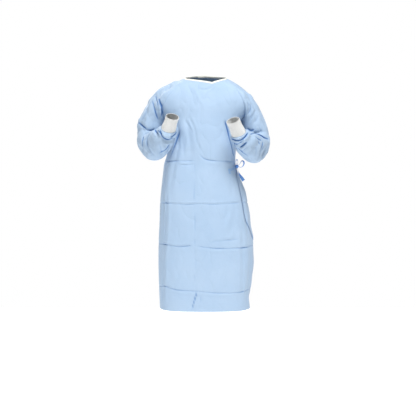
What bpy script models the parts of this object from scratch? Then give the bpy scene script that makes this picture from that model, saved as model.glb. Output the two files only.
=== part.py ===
"""A wrap-around surgical gown in its worn form: hollow, with both forearms raised.

Metres, +Z up. The front faces -Y and the gown's own left is at +X. The origin is between the
shoulders, level with the neck opening, where the gown is held up. Every cut piece is a thin
wall of its own: front, wrap-over back, under back, two raglan sleeves, two knitted
cuffs, the neck binding, and the waist tie with its patch, knot, two loops and free end.
"""

import math

import bmesh
import bpy
import numpy as np

# Sizes of the cloth, in metres
CLOTH = 0.002
SEAM_GAP = 0.0003
HEM_LEVEL = -1.130
ARMPIT_LEVEL = -0.212
LAP_GAP = 0.0060
BINDING_HEIGHT = 0.0085
BINDING_THICK = 0.0030
CUFF_THICK = 0.0022
TIE_WIDTH = 0.011
TIE_THICK = 0.0012
LAY_GAP = 0.0005

# Colours and roughnesses of the plain materials
BLUE = (0.48, 0.66, 0.86)
TIE_BLUE = (0.22, 0.42, 0.76)
KNIT_WHITE = (0.86, 0.87, 0.86)
CREAM = (0.88, 0.90, 0.82)
CLOTH_ROUGH = 0.7
TIE_ROUGH = 0.6
KNIT_ROUGH = 0.85
TAPE_ROUGH = 0.8

# How many steps each piece has along its edges
YOKE_ROWS = 8
FRONT_COLUMNS = 24
WRAP_COLUMNS = 26
UNDER_COLUMNS = 12
NECK_ARC_STEPS = 6
SHOULDER_RINGS = 8
CUFF_RINGS = 3
RIBBON_STEPS = 22
STRIP_ROWS = 3
PATCH_STEPS = 3
TIE_FRONT_STEPS = 15
TIE_BACK_STEPS = 9
TIE_LINK_STEPS = 5
KNOT_SEGMENTS = (12, 8)

SKIRT_LEVELS = (
    -0.212, -0.250, -0.290, -0.330, -0.365, -0.395, -0.420, -0.445, -0.470, -0.500, -0.540,
    -0.585, -0.635, -0.690, -0.745, -0.810, -0.880, -0.950, -1.010, -1.070, -1.130,
)
SQUARENESS = 0.20
FRONT_ARC_AT_NECK = math.radians(48)
NECK_EDGE_CURVE = 0.85
CURVE_GAIN = 1.2
MIDDLE_SHIFT_REACH = 0.3

# How far from a panel's edges its folds fade out: in shares of its width and of the yoke
FOLD_FADE_SIDE = 0.12
FOLD_FADE_NECK = 0.25
NORMAL_STEP = 0.01


def table(names, rows):
    """Rows of numbers as one array for each named column."""
    columns = np.array(rows, float).T
    return dict(zip(names.split(), columns))


# Half widths and depths of the body below the armpits, seen level by level
BODY = table(
    "level left right front back side",
    [
        (-0.212, -0.192, 0.172, -0.136, 0.126, 0.004),
        (-0.255, -0.183, 0.162, -0.138, 0.124, 0.002),
        (-0.330, -0.180, 0.152, -0.138, 0.114, 0.000),
        (-0.385, -0.190, 0.144, -0.135, 0.104, -0.004),
        (-0.420, -0.201, 0.144, -0.134, 0.102, -0.006),
        (-0.460, -0.206, 0.154, -0.136, 0.104, -0.006),
        (-0.520, -0.213, 0.173, -0.140, 0.112, -0.005),
        (-0.600, -0.221, 0.194, -0.145, 0.122, -0.004),
        (-0.710, -0.225, 0.211, -0.149, 0.131, -0.003),
        (-0.790, -0.229, 0.226, -0.151, 0.136, -0.002),
        (-0.900, -0.231, 0.231, -0.153, 0.140, 0.000),
        (-1.000, -0.229, 0.222, -0.154, 0.142, 0.000),
        (-1.060, -0.227, 0.212, -0.154, 0.143, 0.000),
        (-1.130, -0.224, 0.218, -0.155, 0.144, 0.000),
    ],
)

# The centre line of the front and of the back, from the neck edge down to the armpits
FRONT_CENTRE = table(
    "share x y z",
    [
        (0.00, 0.032, -0.098, -0.040),
        (0.20, 0.026, -0.108, -0.068),
        (0.45, 0.014, -0.122, -0.108),
        (0.70, 0.000, -0.131, -0.152),
        (1.00, -0.010, -0.136, -0.212),
    ],
)
BACK_CENTRE = table(
    "share x y z",
    [
        (0.00, 0.000, 0.074, 0.003),
        (0.15, 0.000, 0.094, -0.014),
        (0.40, -0.003, 0.116, -0.072),
        (0.70, -0.007, 0.127, -0.142),
        (1.00, -0.010, 0.126, -0.212),
    ],
)

# The raglan seams, from the neck edge to the armpit; out is the distance from the body's middle
RAGLAN_MIDDLE = -0.010
FRONT_RAGLAN = table(
    "share out y z",
    [
        (0.00, 0.096, -0.056, -0.018),
        (0.18, 0.136, -0.086, -0.050),
        (0.36, 0.166, -0.099, -0.088),
        (0.56, 0.188, -0.098, -0.132),
        (0.76, 0.195, -0.076, -0.174),
        (0.90, 0.190, -0.038, -0.202),
        (1.00, 0.182, 0.004, -0.212),
    ],
)
BACK_RAGLAN = table(
    "share out y z",
    [
        (0.00, 0.090, 0.046, -0.004),
        (0.18, 0.130, 0.078, -0.040),
        (0.36, 0.160, 0.098, -0.086),
        (0.56, 0.183, 0.102, -0.132),
        (0.76, 0.193, 0.082, -0.176),
        (0.90, 0.190, 0.044, -0.203),
        (1.00, 0.182, 0.004, -0.212),
    ],
)
NECK_SIDE_OUT = 0.105
NECK_SIDE_LEVEL = -0.009

# Where the free edge of the wrap-over back lies, level by level. Turn 0 is the centre back,
# 1 is the gown's left side and 2 is the centre front. Off is how far it stands off.
WRAP_EDGE = table(
    "level turn off",
    [
        (0.000, 0.36, 0.0060),
        (-0.120, 0.42, 0.0060),
        (-0.238, 0.58, 0.0060),
        (-0.330, 0.86, 0.0060),
        (-0.420, 1.07, 0.0050),
        (-0.445, 1.12, 0.0050),
        (-0.465, 1.24, 0.0055),
        (-0.485, 1.305, 0.0060),
        (-0.520, 1.335, 0.0075),
        (-0.600, 1.36, 0.0100),
        (-0.660, 1.34, 0.0105),
        (-0.720, 1.24, 0.0085),
        (-0.780, 1.02, 0.0060),
        (-0.850, 0.90, 0.0055),
        (-0.960, 0.84, 0.0060),
        (-1.130, 0.80, 0.0065),
    ],
)
UNDER_EDGE_TURN = -0.38

# The wrap-over lifts off the under layer over one run of turn, and off its lap near its edge
LAP_FROM_TURN = -0.98
LAP_RUN = 0.45
STAND_OFF_FROM = 0.6

# The folds of the body that show from a step away, as soft troughs: where, how wide, how deep
BODY_FOLDS = table(
    "turn lean level reach width depth",
    [
        (1.28, 0.00, -0.80, 0.42, 0.060, 0.0040),
        (-1.30, 0.05, -0.62, 0.34, 0.055, 0.0045),
        (-1.55, -0.10, -0.34, 0.16, 0.050, 0.0055),
        (-1.78, 0.30, -0.30, 0.14, 0.045, 0.0045),
        (-0.62, 0.05, -0.90, 0.34, 0.070, 0.0065),
        (-0.25, -0.05, -0.75, 0.45, 0.070, 0.0055),
        (0.22, 0.10, -0.85, 0.40, 0.070, 0.0065),
        (0.62, 0.20, -0.62, 0.35, 0.060, 0.0055),
        (0.95, 0.10, -0.95, 0.25, 0.060, 0.0050),
    ],
)

# Each arm's pose. The pivot is the inner elbow, and the wrist is where sleeve meets cuff.
SIDES = ("right", "left")
OUTWARD = {"right": -1.0, "left": 1.0}
ELBOW_PIVOT = {"right": (-0.238, -0.066, -0.262), "left": (0.218, -0.066, -0.276)}
UPPER_ARM_RUN = 0.016
WRIST = {"right": (-0.1734, -0.210, -0.2577), "left": (0.1556, -0.210, -0.2780)}
CUFF_END = {"right": (-0.1529, -0.247, -0.2014), "left": (0.1275, -0.247, -0.2186)}
UPPER_ARM_LEAN = {"right": 0.20, "left": 0.30}
FOREARM_START = (-0.46, -0.76, 0.46)
UPPER_ARM_FORWARD = -0.06
ELBOW_SHARE = 0.35
ELBOW_EASE = 0.010

# How the sleeve leaves its top edge, from the armpit, round to the top of the shoulder
SHOULDER_SLOPE = math.radians(25)
ARMPIT_SLOPE = math.radians(72)
SHOULDER_SPAN = 0.62
SHOULDER_SPREAD = 0.22
ARMPIT_PULL = 0.8
SHOULDER_PULL = 0.3
SHOULDER_FOLD_FADE = (0.35, 0.2)

# Half sizes of the sleeve from the upper arm to the cuff seam: across the arm and through it
SLEEVE = table(
    "share across deep",
    [
        (0.00, 0.062, 0.072),
        (0.15, 0.060, 0.069),
        (0.35, 0.061, 0.068),
        (0.55, 0.061, 0.068),
        (0.70, 0.060, 0.063),
        (0.80, 0.056, 0.056),
        (0.87, 0.047, 0.045),
        (0.93, 0.049, 0.046),
        (0.97, 0.045, 0.041),
        (1.00, 0.037, 0.032),
    ],
)
CUFF = table(
    "share across deep",
    [(0.0, 0.0365, 0.0315), (0.5, 0.0345, 0.0290), (1.0, 0.0330, 0.0275)],
)
BEND_SHARE = (0.05, 0.52)
SLEEVE_RINGS = (
    0.0, 0.05, 0.108, 0.167, 0.226, 0.285, 0.344, 0.402, 0.461, 0.52,
    0.575, 0.63, 0.685, 0.74, 0.785, 0.83, 0.87, 0.90, 0.93, 0.965, 1.0,
)

# The folds of a sleeve, as soft troughs: how far down it, at what angle round it, how deep
SLEEVE_FOLDS = table(
    "share turn lean along around depth",
    [
        (0.10, 0.25, 0.00, 0.050, 0.12, 0.0090),
        (0.30, 0.26, 0.10, 0.035, 0.13, 0.0070),
        (0.44, 0.23, -0.10, 0.035, 0.12, 0.0080),
        (0.58, 0.24, 0.10, 0.040, 0.12, 0.0060),
        (0.24, 0.06, 0.20, 0.045, 0.09, 0.0050),
        (0.40, 0.45, -0.20, 0.050, 0.08, 0.0045),
        (0.68, 0.58, 0.30, 0.045, 0.10, 0.0050),
        (0.76, 0.88, -0.20, 0.040, 0.10, 0.0050),
    ],
)
SHOULDER_FOLDS = table(
    "share turn lean along around depth",
    [
        (0.58, 0.20, -0.10, 0.300, 0.045, 0.0060),
        (0.64, 0.33, -0.10, 0.240, 0.040, 0.0045),
        (0.60, 0.78, 0.10, 0.300, 0.045, 0.0060),
    ],
)

# The neck binding's section, in shares of half its thickness and of its height
BINDING_UPRIGHT = 0.5
BINDING_SECTION = table(
    "across rise",
    [(-1.0, 0.0), (-1.0, 0.75), (-0.5, 1.0), (0.5, 1.0), (1.0, 0.75), (1.0, 0.0)],
)

# The waist tie, at the gown's left side: the patch on the front, and the bow at the edge
PATCH = {"turn": (1.502, 1.562), "level": (-0.458, -0.458), "height": 0.025}
TIE_FRONT = {"turn": (1.150, 1.494), "level": (-0.436, -0.452), "height": 0.011}
TIE_BACK = {"turn": (0.700, 1.040), "level": (-0.446, -0.440), "height": 0.011}
KNOT = {"turn": 1.205, "level": -0.4375, "half": (0.0062, 0.0078, 0.0088)}
LINK_HALF = np.array([0.0, 0.0, 0.0045])
LOOP = table(
    "x y z twist",
    [
        (0.1680, -0.0605, -0.4195, 0.00),
        (0.1735, -0.0605, -0.4100, 0.15),
        (0.1810, -0.0600, -0.4085, 0.35),
        (0.1860, -0.0600, -0.4150, 0.40),
        (0.1855, -0.0600, -0.4245, 0.35),
        (0.1810, -0.0600, -0.4340, 0.20),
        (0.1720, -0.0600, -0.4400, 0.00),
    ],
)
UPPER_LOOP = table(
    "x y z twist",
    [
        (0.1478, -0.0600, -0.4150, 0.00),
        (0.1482, -0.0600, -0.4060, 0.00),
        (0.1515, -0.0600, -0.4015, 0.00),
        (0.1555, -0.0600, -0.4060, 0.00),
        (0.1572, -0.0600, -0.4150, 0.00),
    ],
)
TAIL = table(
    "x y z twist width",
    [
        (0.1570, -0.0610, -0.4520, 0.0, 0.0110),
        (0.1600, -0.0635, -0.4610, 0.1, 0.0110),
        (0.1640, -0.0660, -0.4710, 0.3, 0.0115),
        (0.1700, -0.0680, -0.4820, 0.6, 0.0130),
        (0.1770, -0.0690, -0.4930, 0.9, 0.0150),
        (0.1840, -0.0700, -0.5040, 1.0, 0.0165),
    ],
)


def smooth(columns, key, wanted, at):
    """A smooth curve through a table's rows, read at one place."""
    keys, values = columns[key], columns[wanted]
    if keys[0] > keys[-1]:
        keys, values = keys[::-1], values[::-1]
    at = min(max(at, keys[0]), keys[-1])
    i = min(int(np.searchsorted(keys, at, side="right")) - 1, len(keys) - 2)
    slopes = np.diff(values) / np.diff(keys)
    first = slopes[i] if i == 0 else (slopes[i - 1] + slopes[i]) / 2
    last = slopes[i] if i == len(keys) - 2 else (slopes[i] + slopes[i + 1]) / 2
    width = keys[i + 1] - keys[i]
    t = (at - keys[i]) / width
    return (
        (1 + 2 * t) * (1 - t) ** 2 * values[i]
        + t * (1 - t) ** 2 * width * first
        + t * t * (3 - 2 * t) * values[i + 1]
        + t * t * (t - 1) * width * last
    )


def unit(vector):
    vector = np.array(vector, float)
    return vector / np.linalg.norm(vector)


def ease(t):
    t = min(max(t, 0.0), 1.0)
    return t * t * (3 - 2 * t)


def raglan(side, face, share):
    """A point of a raglan seam, share 0 at the neck and 1 at the armpit."""
    seam = FRONT_RAGLAN if face == "front" else BACK_RAGLAN
    x, y, z = (smooth(seam, "share", name, share) for name in ("out", "y", "z"))
    return np.array([RAGLAN_MIDDLE * share + OUTWARD[side] * x, y, z])


def centre_line(face, share):
    line = FRONT_CENTRE if face == "front" else BACK_CENTRE
    return np.array([smooth(line, "share", name, share) for name in ("x", "y", "z")])


def arcs_at(out, arc, square):
    """(sideways, outward) on an arc that is squared off a little, each 0 to 1 from the middle."""
    angle = out * arc
    across = math.sin(angle) * (1 + square * math.cos(angle) ** 2)
    across /= math.sin(arc) * (1 + square * math.cos(arc) ** 2)
    bulge = math.cos(angle) * (1 + square * math.sin(angle) ** 2)
    least = math.cos(arc) * (1 + square * math.sin(arc) ** 2)
    return across, (bulge - least) / (1 - least)


def yoke_point(face, across, share):
    """The body above the armpits: share 0 is the neck edge and 1 the armpit level."""
    side, out = ("left" if across > 0 else "right"), abs(across)
    middle, seam = centre_line(face, share), raglan(side, face, share)
    arc = FRONT_ARC_AT_NECK + (math.pi / 2 - FRONT_ARC_AT_NECK) * share**3
    sideways, bulge = arcs_at(out, arc, SQUARENESS * share**3)
    rise = out ** (NECK_EDGE_CURVE + CURVE_GAIN * share)
    return np.array(
        [
            middle[0] + (seam[0] - middle[0]) * sideways,
            seam[1] + (middle[1] - seam[1]) * bulge,
            middle[2] + (seam[2] - middle[2]) * rise,
        ]
    )


def skirt_point(face, across, level):
    """The body below the armpits."""
    side = smooth(BODY, "level", "side", level)
    width = smooth(BODY, "level", "left" if across < 0 else "right", level)
    depth = smooth(BODY, "level", face, level)
    sideways, bulge = arcs_at(abs(across), math.pi / 2, SQUARENESS)
    middle = RAGLAN_MIDDLE * (1 - ease((ARMPIT_LEVEL - level) / MIDDLE_SHIFT_REACH))
    return np.array(
        [middle + (width - middle) * sideways, side + (depth - side) * bulge, level]
    )


def smooth_body_point(face, across, row):
    """The body without its folds. Row 0 is the neck edge, 1 the armpits and 2 the hem."""
    if row < 1:
        return yoke_point(face, across, row)
    return skirt_point(face, across, ARMPIT_LEVEL + (HEM_LEVEL - ARMPIT_LEVEL) * (row - 1))


def body_normal(face, across, row):
    low, high = max(row - NORMAL_STEP, 0.0), min(row + NORMAL_STEP, 2.0)
    right, left = max(across - NORMAL_STEP, -1.0), min(across + NORMAL_STEP, 1.0)
    along = smooth_body_point(face, across, high) - smooth_body_point(face, across, low)
    around = smooth_body_point(face, left, row) - smooth_body_point(face, right, row)
    return unit(np.cross(along, around)) * (1 if face == "front" else -1)


def turn_of(face, across):
    """How far round the body a place lies: 0 the centre back, 1 the left side, 2 the front."""
    return across if face == "back" else math.copysign(2 - abs(across), across)


def body_fold(turn, level):
    """How far the folds push the cloth in at one place."""
    push = 0.0
    for at, lean, middle, reach, width, depth in zip(*BODY_FOLDS.values()):
        away = (turn - at + 2) % 4 - 2 - lean * (level - middle)
        push += depth * math.exp(-((away / width) ** 2) - ((level - middle) / reach) ** 4)
    return push


def body_point(face, across, row, off=0.0):
    point = smooth_body_point(face, across, row)
    still = ease((1 - abs(across)) / FOLD_FADE_SIDE) * ease(row / FOLD_FADE_NECK)
    push = body_fold(turn_of(face, across), point[2]) * still
    return point + body_normal(face, across, row) * (off - push)


def round_point(turn, row, off=0.0):
    """The same for a piece that goes round from the back, past the side, to the front."""
    if abs(turn) <= 1:
        return body_point("back", turn, row, off)
    return body_point("front", math.copysign(2 - abs(turn), turn), row, off)


def wrap_edge(row):
    """(turn, stand-off) of the wrap-over's free edge on one row."""
    level = ARMPIT_LEVEL * row if row < 1 else smooth_body_point("back", 1.0, row)[2]
    return [smooth(WRAP_EDGE, "level", name, level) for name in ("turn", "off")]


def wrap_point(share, row):
    """The wrap-over back, from the right side seam round to its free edge."""
    turn_end, off_end = wrap_edge(row)
    turn = -1 + (turn_end + 1) * share
    lap = ease((turn - LAP_FROM_TURN) / LAP_RUN) * LAP_GAP
    stand_off = ease((share - STAND_OFF_FROM) / (1 - STAND_OFF_FROM))
    off = lap + (off_end - LAP_GAP) * stand_off
    return round_point(turn, row, off)


def under_point(share, row):
    """The under back, from the left side seam to its hidden edge."""
    return round_point(1 + (UNDER_EDGE_TURN - 1) * share, row)


def front_point(share, row):
    return body_point("front", 2 * share - 1, row)


def loop_points(side, rows, arc_steps):
    """The sleeve's top edge: up the front raglan seam, round the neck, down the back one."""
    front = [raglan(side, "front", 1 - share) for share in np.linspace(0, 1, rows + 1)]
    back = [raglan(side, "back", share) for share in np.linspace(0, 1, rows + 1)]
    start, end = front[-1], back[0]
    top = OUTWARD[side] * NECK_SIDE_OUT
    arc = []
    for share in np.linspace(0, 1, arc_steps + 1)[1:-1]:
        bulge = 1 - (2 * share - 1) ** 2
        point = start + (end - start) * share
        point[0] += (top - (start[0] + end[0]) / 2) * bulge
        point[2] += (NECK_SIDE_LEVEL - (start[2] + end[2]) / 2) * bulge
        arc.append(point)
    return front + arc + back[:-1]


def turned(vector, axis, angle):
    """A vector turned about an axis."""
    along = axis * np.dot(axis, vector)
    return (
        along
        + (vector - along) * math.cos(angle)
        + np.cross(axis, vector) * math.sin(angle)
    )


def arm_frame(side, share):
    """(centre, down-the-arm, inner side, front) of the sleeve, from upper arm to cuff seam."""
    out = OUTWARD[side]
    pivot = np.array(ELBOW_PIVOT[side])
    down = unit((out * UPPER_ARM_LEAN[side], UPPER_ARM_FORWARD, -1.0))
    forearm = unit((out * FOREARM_START[0], FOREARM_START[1], FOREARM_START[2]))
    axis = unit(np.cross(down, forearm))
    bend = math.acos(float(np.dot(down, forearm)))
    inner = unit(np.array([-out, 0, 0]) + out * down[0] * down)
    front = np.cross(inner, down) * out
    to_centre = unit(np.cross(down, axis))
    radius = smooth(SLEEVE, "share", "deep", ELBOW_SHARE) + ELBOW_EASE
    start, end = BEND_SHARE
    first = pivot + to_centre * radius
    top = first - down * UPPER_ARM_RUN
    if share <= start:
        t = share / start
        return top + (first - top) * t, down, inner, front
    if share <= end:
        angle = bend * (share - start) / (end - start)
        spun = [turned(v, axis, angle) for v in (to_centre, down, inner, front)]
        return pivot + spun[0] * radius, spun[1], spun[2], spun[3]
    t = (share - end) / (1 - end)
    after = pivot + turned(to_centre, axis, bend) * radius
    wrist, cuff = np.array(WRIST[side]), np.array(CUFF_END[side])
    reach = np.linalg.norm(wrist - after)
    leave, arrive = forearm * reach, unit(cuff - wrist) * reach
    centre = (
        (1 + 2 * t) * (1 - t) ** 2 * after
        + t * (1 - t) ** 2 * leave
        + t * t * (3 - 2 * t) * wrist
        + t * t * (t - 1) * arrive
    )
    going = unit(forearm * (1 - ease(t)) + unit(cuff - wrist) * ease(t))
    inner, front = (turned(v, axis, bend) for v in (inner, front))
    inner = unit(inner - going * np.dot(inner, going))
    front = unit(front - going * np.dot(front, going) - inner * np.dot(front, inner))
    return centre, going, inner, front


def fold_push(folds, share, turn):
    push = 0.0
    for at, where, lean, along, around, depth in zip(*folds.values()):
        down = (share - at) / along
        away = ((turn - where + 0.5) % 1 - 0.5 - lean * (share - at)) / around
        push += depth * math.exp(-down * down - away * away)
    return push


def arm_point(side, share, turn, columns=SLEEVE):
    """A point of the sleeve. Turn 0 is its inner side, 0.25 its front, 0.5 its outer side."""
    centre, _, inner, front = arm_frame(side, share)
    angle = 2 * math.pi * turn
    across = smooth(columns, "share", "across", share)
    deep = smooth(columns, "share", "deep", share)
    size = 1 - fold_push(SLEEVE_FOLDS, share, turn) / deep
    return centre + (inner * across * math.cos(angle) + front * deep * math.sin(angle)) * size


def shoulder_point(side, start, share, turn):
    """The sleeve between its top edge and the upper arm, as one smooth curve for each turn."""
    end = arm_point(side, 0.0, turn)
    _, down, inner, front = arm_frame(side, 0.0)
    height = ease(min((1 - abs(2 * turn - 1)) / SHOULDER_SPAN, 1.0))
    slope = ARMPIT_SLOPE + (SHOULDER_SLOPE - ARMPIT_SLOPE) * height
    gap = np.linalg.norm(end - start)
    sideways = -SHOULDER_SPREAD * math.sin(2 * math.pi * turn)
    leave = unit((OUTWARD[side] * math.cos(slope), sideways, -math.sin(slope)))
    pull = gap * (ARMPIT_PULL + SHOULDER_PULL * height)
    leave, arrive = leave * pull, down * pull
    t = share
    point = (
        (1 + 2 * t) * (1 - t) ** 2 * start
        + t * (1 - t) ** 2 * leave
        + t * t * (3 - 2 * t) * end
        + t * t * (t - 1) * arrive
    )
    angle = 2 * math.pi * turn
    inward = inner * math.cos(angle) + front * math.sin(angle)
    fade_top, fade_arm = SHOULDER_FOLD_FADE
    still = ease(share / fade_top) * ease((1 - share) / fade_arm)
    return point - inward * fold_push(SHOULDER_FOLDS, share, turn) * still


def sleeve_grid(side, rows, arc_steps, shoulder_rings, arm_shares):
    """Rings of points from the sleeve's top edge to the cuff seam."""
    loop = loop_points(side, rows, arc_steps)
    turns = [i / len(loop) for i in range(len(loop))]
    grid = [loop]
    for share in np.linspace(0, 1, shoulder_rings + 1)[1:-1]:
        grid.append([shoulder_point(side, p, share, t) for p, t in zip(loop, turns)])
    for share in arm_shares:
        grid.append([arm_point(side, share, turn) for turn in turns])
    return np.array(grid)


def cuff_grid(side, turns, rings):
    """Rings of points of the knitted cuff, from the seam to its open end."""
    wrist, end = np.array(WRIST[side]), np.array(CUFF_END[side])
    _, _, inner, front = arm_frame(side, 1.0)
    going = unit(end - wrist)
    grid = []
    for share in np.linspace(0, 1, rings):
        across = smooth(CUFF, "share", "across", share)
        deep = smooth(CUFF, "share", "deep", share)
        centre = wrist + (end - wrist) * share + going * SEAM_GAP
        angles = [2 * math.pi * i / turns for i in range(turns)]
        grid.append(
            [
                centre + inner * across * math.cos(a) + front * deep * math.sin(a)
                for a in angles
            ]
        )
    return np.array(grid)


def faces_of(rows, columns, closed):
    """The quads of a grid of points, wound to face out."""
    last = columns if closed else columns - 1
    return [
        (
            r * columns + c,
            (r + 1) * columns + c,
            (r + 1) * columns + (c + 1) % columns,
            r * columns + (c + 1) % columns,
        )
        for r in range(rows - 1)
        for c in range(last)
    ]


def shared_normals(grids):
    """The outward normal at each point of the grids, averaged across the seams."""
    skin = bmesh.new()
    index, keys = {}, {}
    for name, (grid, closed, flip) in grids.items():
        rows, columns = grid.shape[:2]
        keys[name] = []
        for point in grid.reshape(-1, 3):
            key = tuple(np.round(point / 1e-5).astype(int))
            if key not in index:
                index[key] = skin.verts.new(point)
            keys[name].append(key)
        for corners in faces_of(rows, columns, closed):
            corners = corners[::-1] if flip else corners
            skin.faces.new([index[keys[name][i]] for i in corners])
    skin.normal_update()
    normals = {
        name: np.array([index[key].normal for key in keys[name]]).reshape(grid.shape)
        for name, (grid, closed, flip) in grids.items()
    }
    skin.free()
    return normals


def drawn_in(grid, closed, distance):
    """The grid with its edges moved in along the cloth, which leaves the seams their gap."""
    moved = grid.copy()
    for edge, inside in ((0, 1), (-1, -2)):
        step = grid[inside] - grid[edge]
        moved[edge] += step / np.linalg.norm(step, axis=-1, keepdims=True) * distance
    if not closed:
        for edge, inside in ((0, 1), (-1, -2)):
            step = grid[:, inside] - grid[:, edge]
            moved[:, edge] += step / np.linalg.norm(step, axis=-1, keepdims=True) * distance
    return moved


def wall(name, grid, normals, thick, closed, flip, colour, roughness, draw=SEAM_GAP / 2):
    """One cut piece: its outer points, the same points moved in, and an edge between them."""
    outer = drawn_in(grid, closed, draw)
    inner = outer - normals * thick
    rows, columns = grid.shape[:2]
    count = rows * columns
    faces = faces_of(rows, columns, closed)
    faces = [f[::-1] for f in faces] if flip else faces
    inside = [tuple(i + count for i in f[::-1]) for f in faces]
    mesh = bpy.data.meshes.new(name)
    points = np.concatenate([outer.reshape(-1, 3), inner.reshape(-1, 3)])
    mesh.from_pydata(points.tolist(), [], faces + inside)
    work = bmesh.new()
    work.from_mesh(mesh)
    work.verts.ensure_lookup_table()
    for edge in [e for e in work.edges if e.is_boundary]:
        a, b = edge.verts
        if a.index < count and b.index < count:
            loop = edge.link_loops[0]
            first, second = loop.vert, loop.link_loop_next.vert
            below = work.verts[second.index + count], work.verts[first.index + count]
            work.faces.new([second, first, below[1], below[0]])
    bmesh.ops.triangulate(work, faces=work.faces[:])
    work.to_mesh(mesh)
    work.free()
    return finished(name, mesh, colour, roughness)


def finished(name, mesh, colour, roughness):
    """The mesh as a named object with its own material."""
    material = bpy.data.materials.new(name)
    material.use_nodes = True
    shader = material.node_tree.nodes["Principled BSDF"]
    shader.inputs["Base Color"].default_value = (*colour, 1)
    shader.inputs["Roughness"].default_value = roughness
    shader.inputs["Metallic"].default_value = 0.0
    mesh.materials.append(material)
    piece = bpy.data.objects.new(name, mesh)
    GOWN.objects.link(piece)
    return piece


def row_of(level):
    """The body row that lies at one level below the armpits."""
    return 1 + (level - ARMPIT_LEVEL) / (HEM_LEVEL - ARMPIT_LEVEL)


ROWS = [i / YOKE_ROWS for i in range(YOKE_ROWS)] + [row_of(level) for level in SKIRT_LEVELS]


def panel_grid(point, columns):
    """A body piece's points, from the neck edge down to the hem."""
    return np.array([[point(c / columns, row) for c in range(columns + 1)] for row in ROWS])


def neck_edge(panels):
    """(points, normals) of the whole neck edge, from the wrap-over's end to the under back's."""
    first, last = YOKE_ROWS, YOKE_ROWS + NECK_ARC_STEPS
    runs = (
        ("back_wrap", slice(None, None, -1)),
        ("sleeve_right", slice(last, first - 1, -1)),
        ("front", slice(None)),
        ("sleeve_left", slice(first, last + 1)),
        ("back_under", slice(None)),
    )
    grids, normals = panels
    points, faces_out = [], []
    for name, part in runs:
        skip = 1 if points else 0
        points += list(grids[name][0][0][part][skip:])
        faces_out += list(normals[name][0][part][skip:])
    return np.array(points), np.array(faces_out)


def binding(edge, normals):
    """The neck binding: a rounded band that stands on the neck edge all the way round."""
    along = np.gradient(edge, axis=0)
    along /= np.linalg.norm(along, axis=1, keepdims=True)
    past_edge = np.cross(normals, along)
    past_edge *= np.sign(past_edge[:, 2:3])
    up = past_edge + np.array([0, 0, BINDING_UPRIGHT])
    up -= along * (up * along).sum(1, keepdims=True)
    up /= np.linalg.norm(up, axis=1, keepdims=True)
    out = np.cross(up, along)
    out *= np.sign((out * normals).sum(1, keepdims=True))
    half = BINDING_THICK / 2
    clear = SEAM_GAP + half * np.abs((out * past_edge).sum(1, keepdims=True))
    foot = edge - normals * CLOTH / 2 + past_edge * clear
    across, rise = BINDING_SECTION["across"] * half, BINDING_SECTION["rise"] * BINDING_HEIGHT
    rings = np.array([foot + out * a + up * b for a, b in zip(across, rise)])
    return tube("neck_binding", rings.transpose(1, 0, 2), CREAM, TAPE_ROUGH)


def tube(name, rings, colour, roughness):
    """A closed body through rings of points, with its ends filled."""
    count = rings.shape[1]
    work = bmesh.new()
    verts = [[work.verts.new(p) for p in ring] for ring in rings]
    for a, b in zip(verts, verts[1:]):
        for i in range(count):
            j = (i + 1) % count
            work.faces.new([a[i], a[j], b[j], b[i]])
    work.faces.new(verts[0][::-1])
    work.faces.new(verts[-1])
    bmesh.ops.recalc_face_normals(work, faces=work.faces[:])
    bmesh.ops.triangulate(work, faces=work.faces[:])
    mesh = bpy.data.meshes.new(name)
    work.to_mesh(mesh)
    work.free()
    return finished(name, mesh, colour, roughness)


def between(grid, row, column):
    """A grid's value between its points, as the panel's flat faces have it."""
    r, c = min(int(row), len(grid) - 2), min(int(column), grid.shape[1] - 2)
    down, along = row - r, column - c
    top = grid[r, c] * (1 - along) + grid[r, c + 1] * along
    bottom = grid[r + 1, c] * (1 - along) + grid[r + 1, c + 1] * along
    return top * (1 - down) + bottom * down


def on_panel(name, panels, turn, level, off):
    """(point, normal) on a panel's outer face, moved out by off."""
    grid, normals = panels[0][name][0], panels[1][name]
    row = float(np.interp(row_of(level), ROWS, range(len(ROWS))))
    if name == "front":
        share = (3 - turn) / 2
    else:
        share = (turn + 1) / (wrap_edge(row_of(level))[0] + 1)
    column = share * (grid.shape[1] - 1)
    normal = unit(between(normals, row, column))
    return between(grid, row, column) + normal * off, normal


def laid(name, panels, place, rows, columns):
    """A strip's outer points, made from the panel's points and moved out."""
    grid = []
    for down in np.linspace(-0.5, 0.5, rows):
        line = []
        for share in np.linspace(0, 1, columns):
            turn = place["turn"][0] + (place["turn"][1] - place["turn"][0]) * share
            level = place["level"][0] + (place["level"][1] - place["level"][0]) * share
            level -= place["height"] * down
            line.append(on_panel(name, panels, turn, level, LAY_GAP + TIE_THICK)[0])
        grid.append(line)
    return np.array(grid)


def strip(name, grid):
    """A flat strip of tie, from its outer points."""
    own = shared_normals({name: (grid, False, False)})[name]
    return wall(name, grid, own, TIE_THICK, False, False, TIE_BLUE, TIE_ROUGH, 0.0)


def ribbon(name, route, widths, twists):
    """A strip of tie that hangs free. Twist 0 has it edge-on to the front, 1 face-on."""
    going = np.gradient(route, axis=0)
    rings = []
    for point, way, width, twist in zip(route, going, widths, twists):
        way = unit(way)
        side_on = np.array([0.0, -1.0, 0.0])
        side_on = unit(side_on - way * np.dot(side_on, way))
        face_on = unit(np.cross(way, side_on))
        angle = twist * math.pi / 2
        flat = side_on * math.cos(angle) + face_on * math.sin(angle)
        thin = np.cross(way, flat)
        corners = ((-1, -1), (1, -1), (1, 1), (-1, 1))
        half = width / 2, TIE_THICK / 2
        rings.append([point + flat * a * half[0] + thin * b * half[1] for a, b in corners])
    return tube(name, np.array(rings), TIE_BLUE, TIE_ROUGH)


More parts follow.
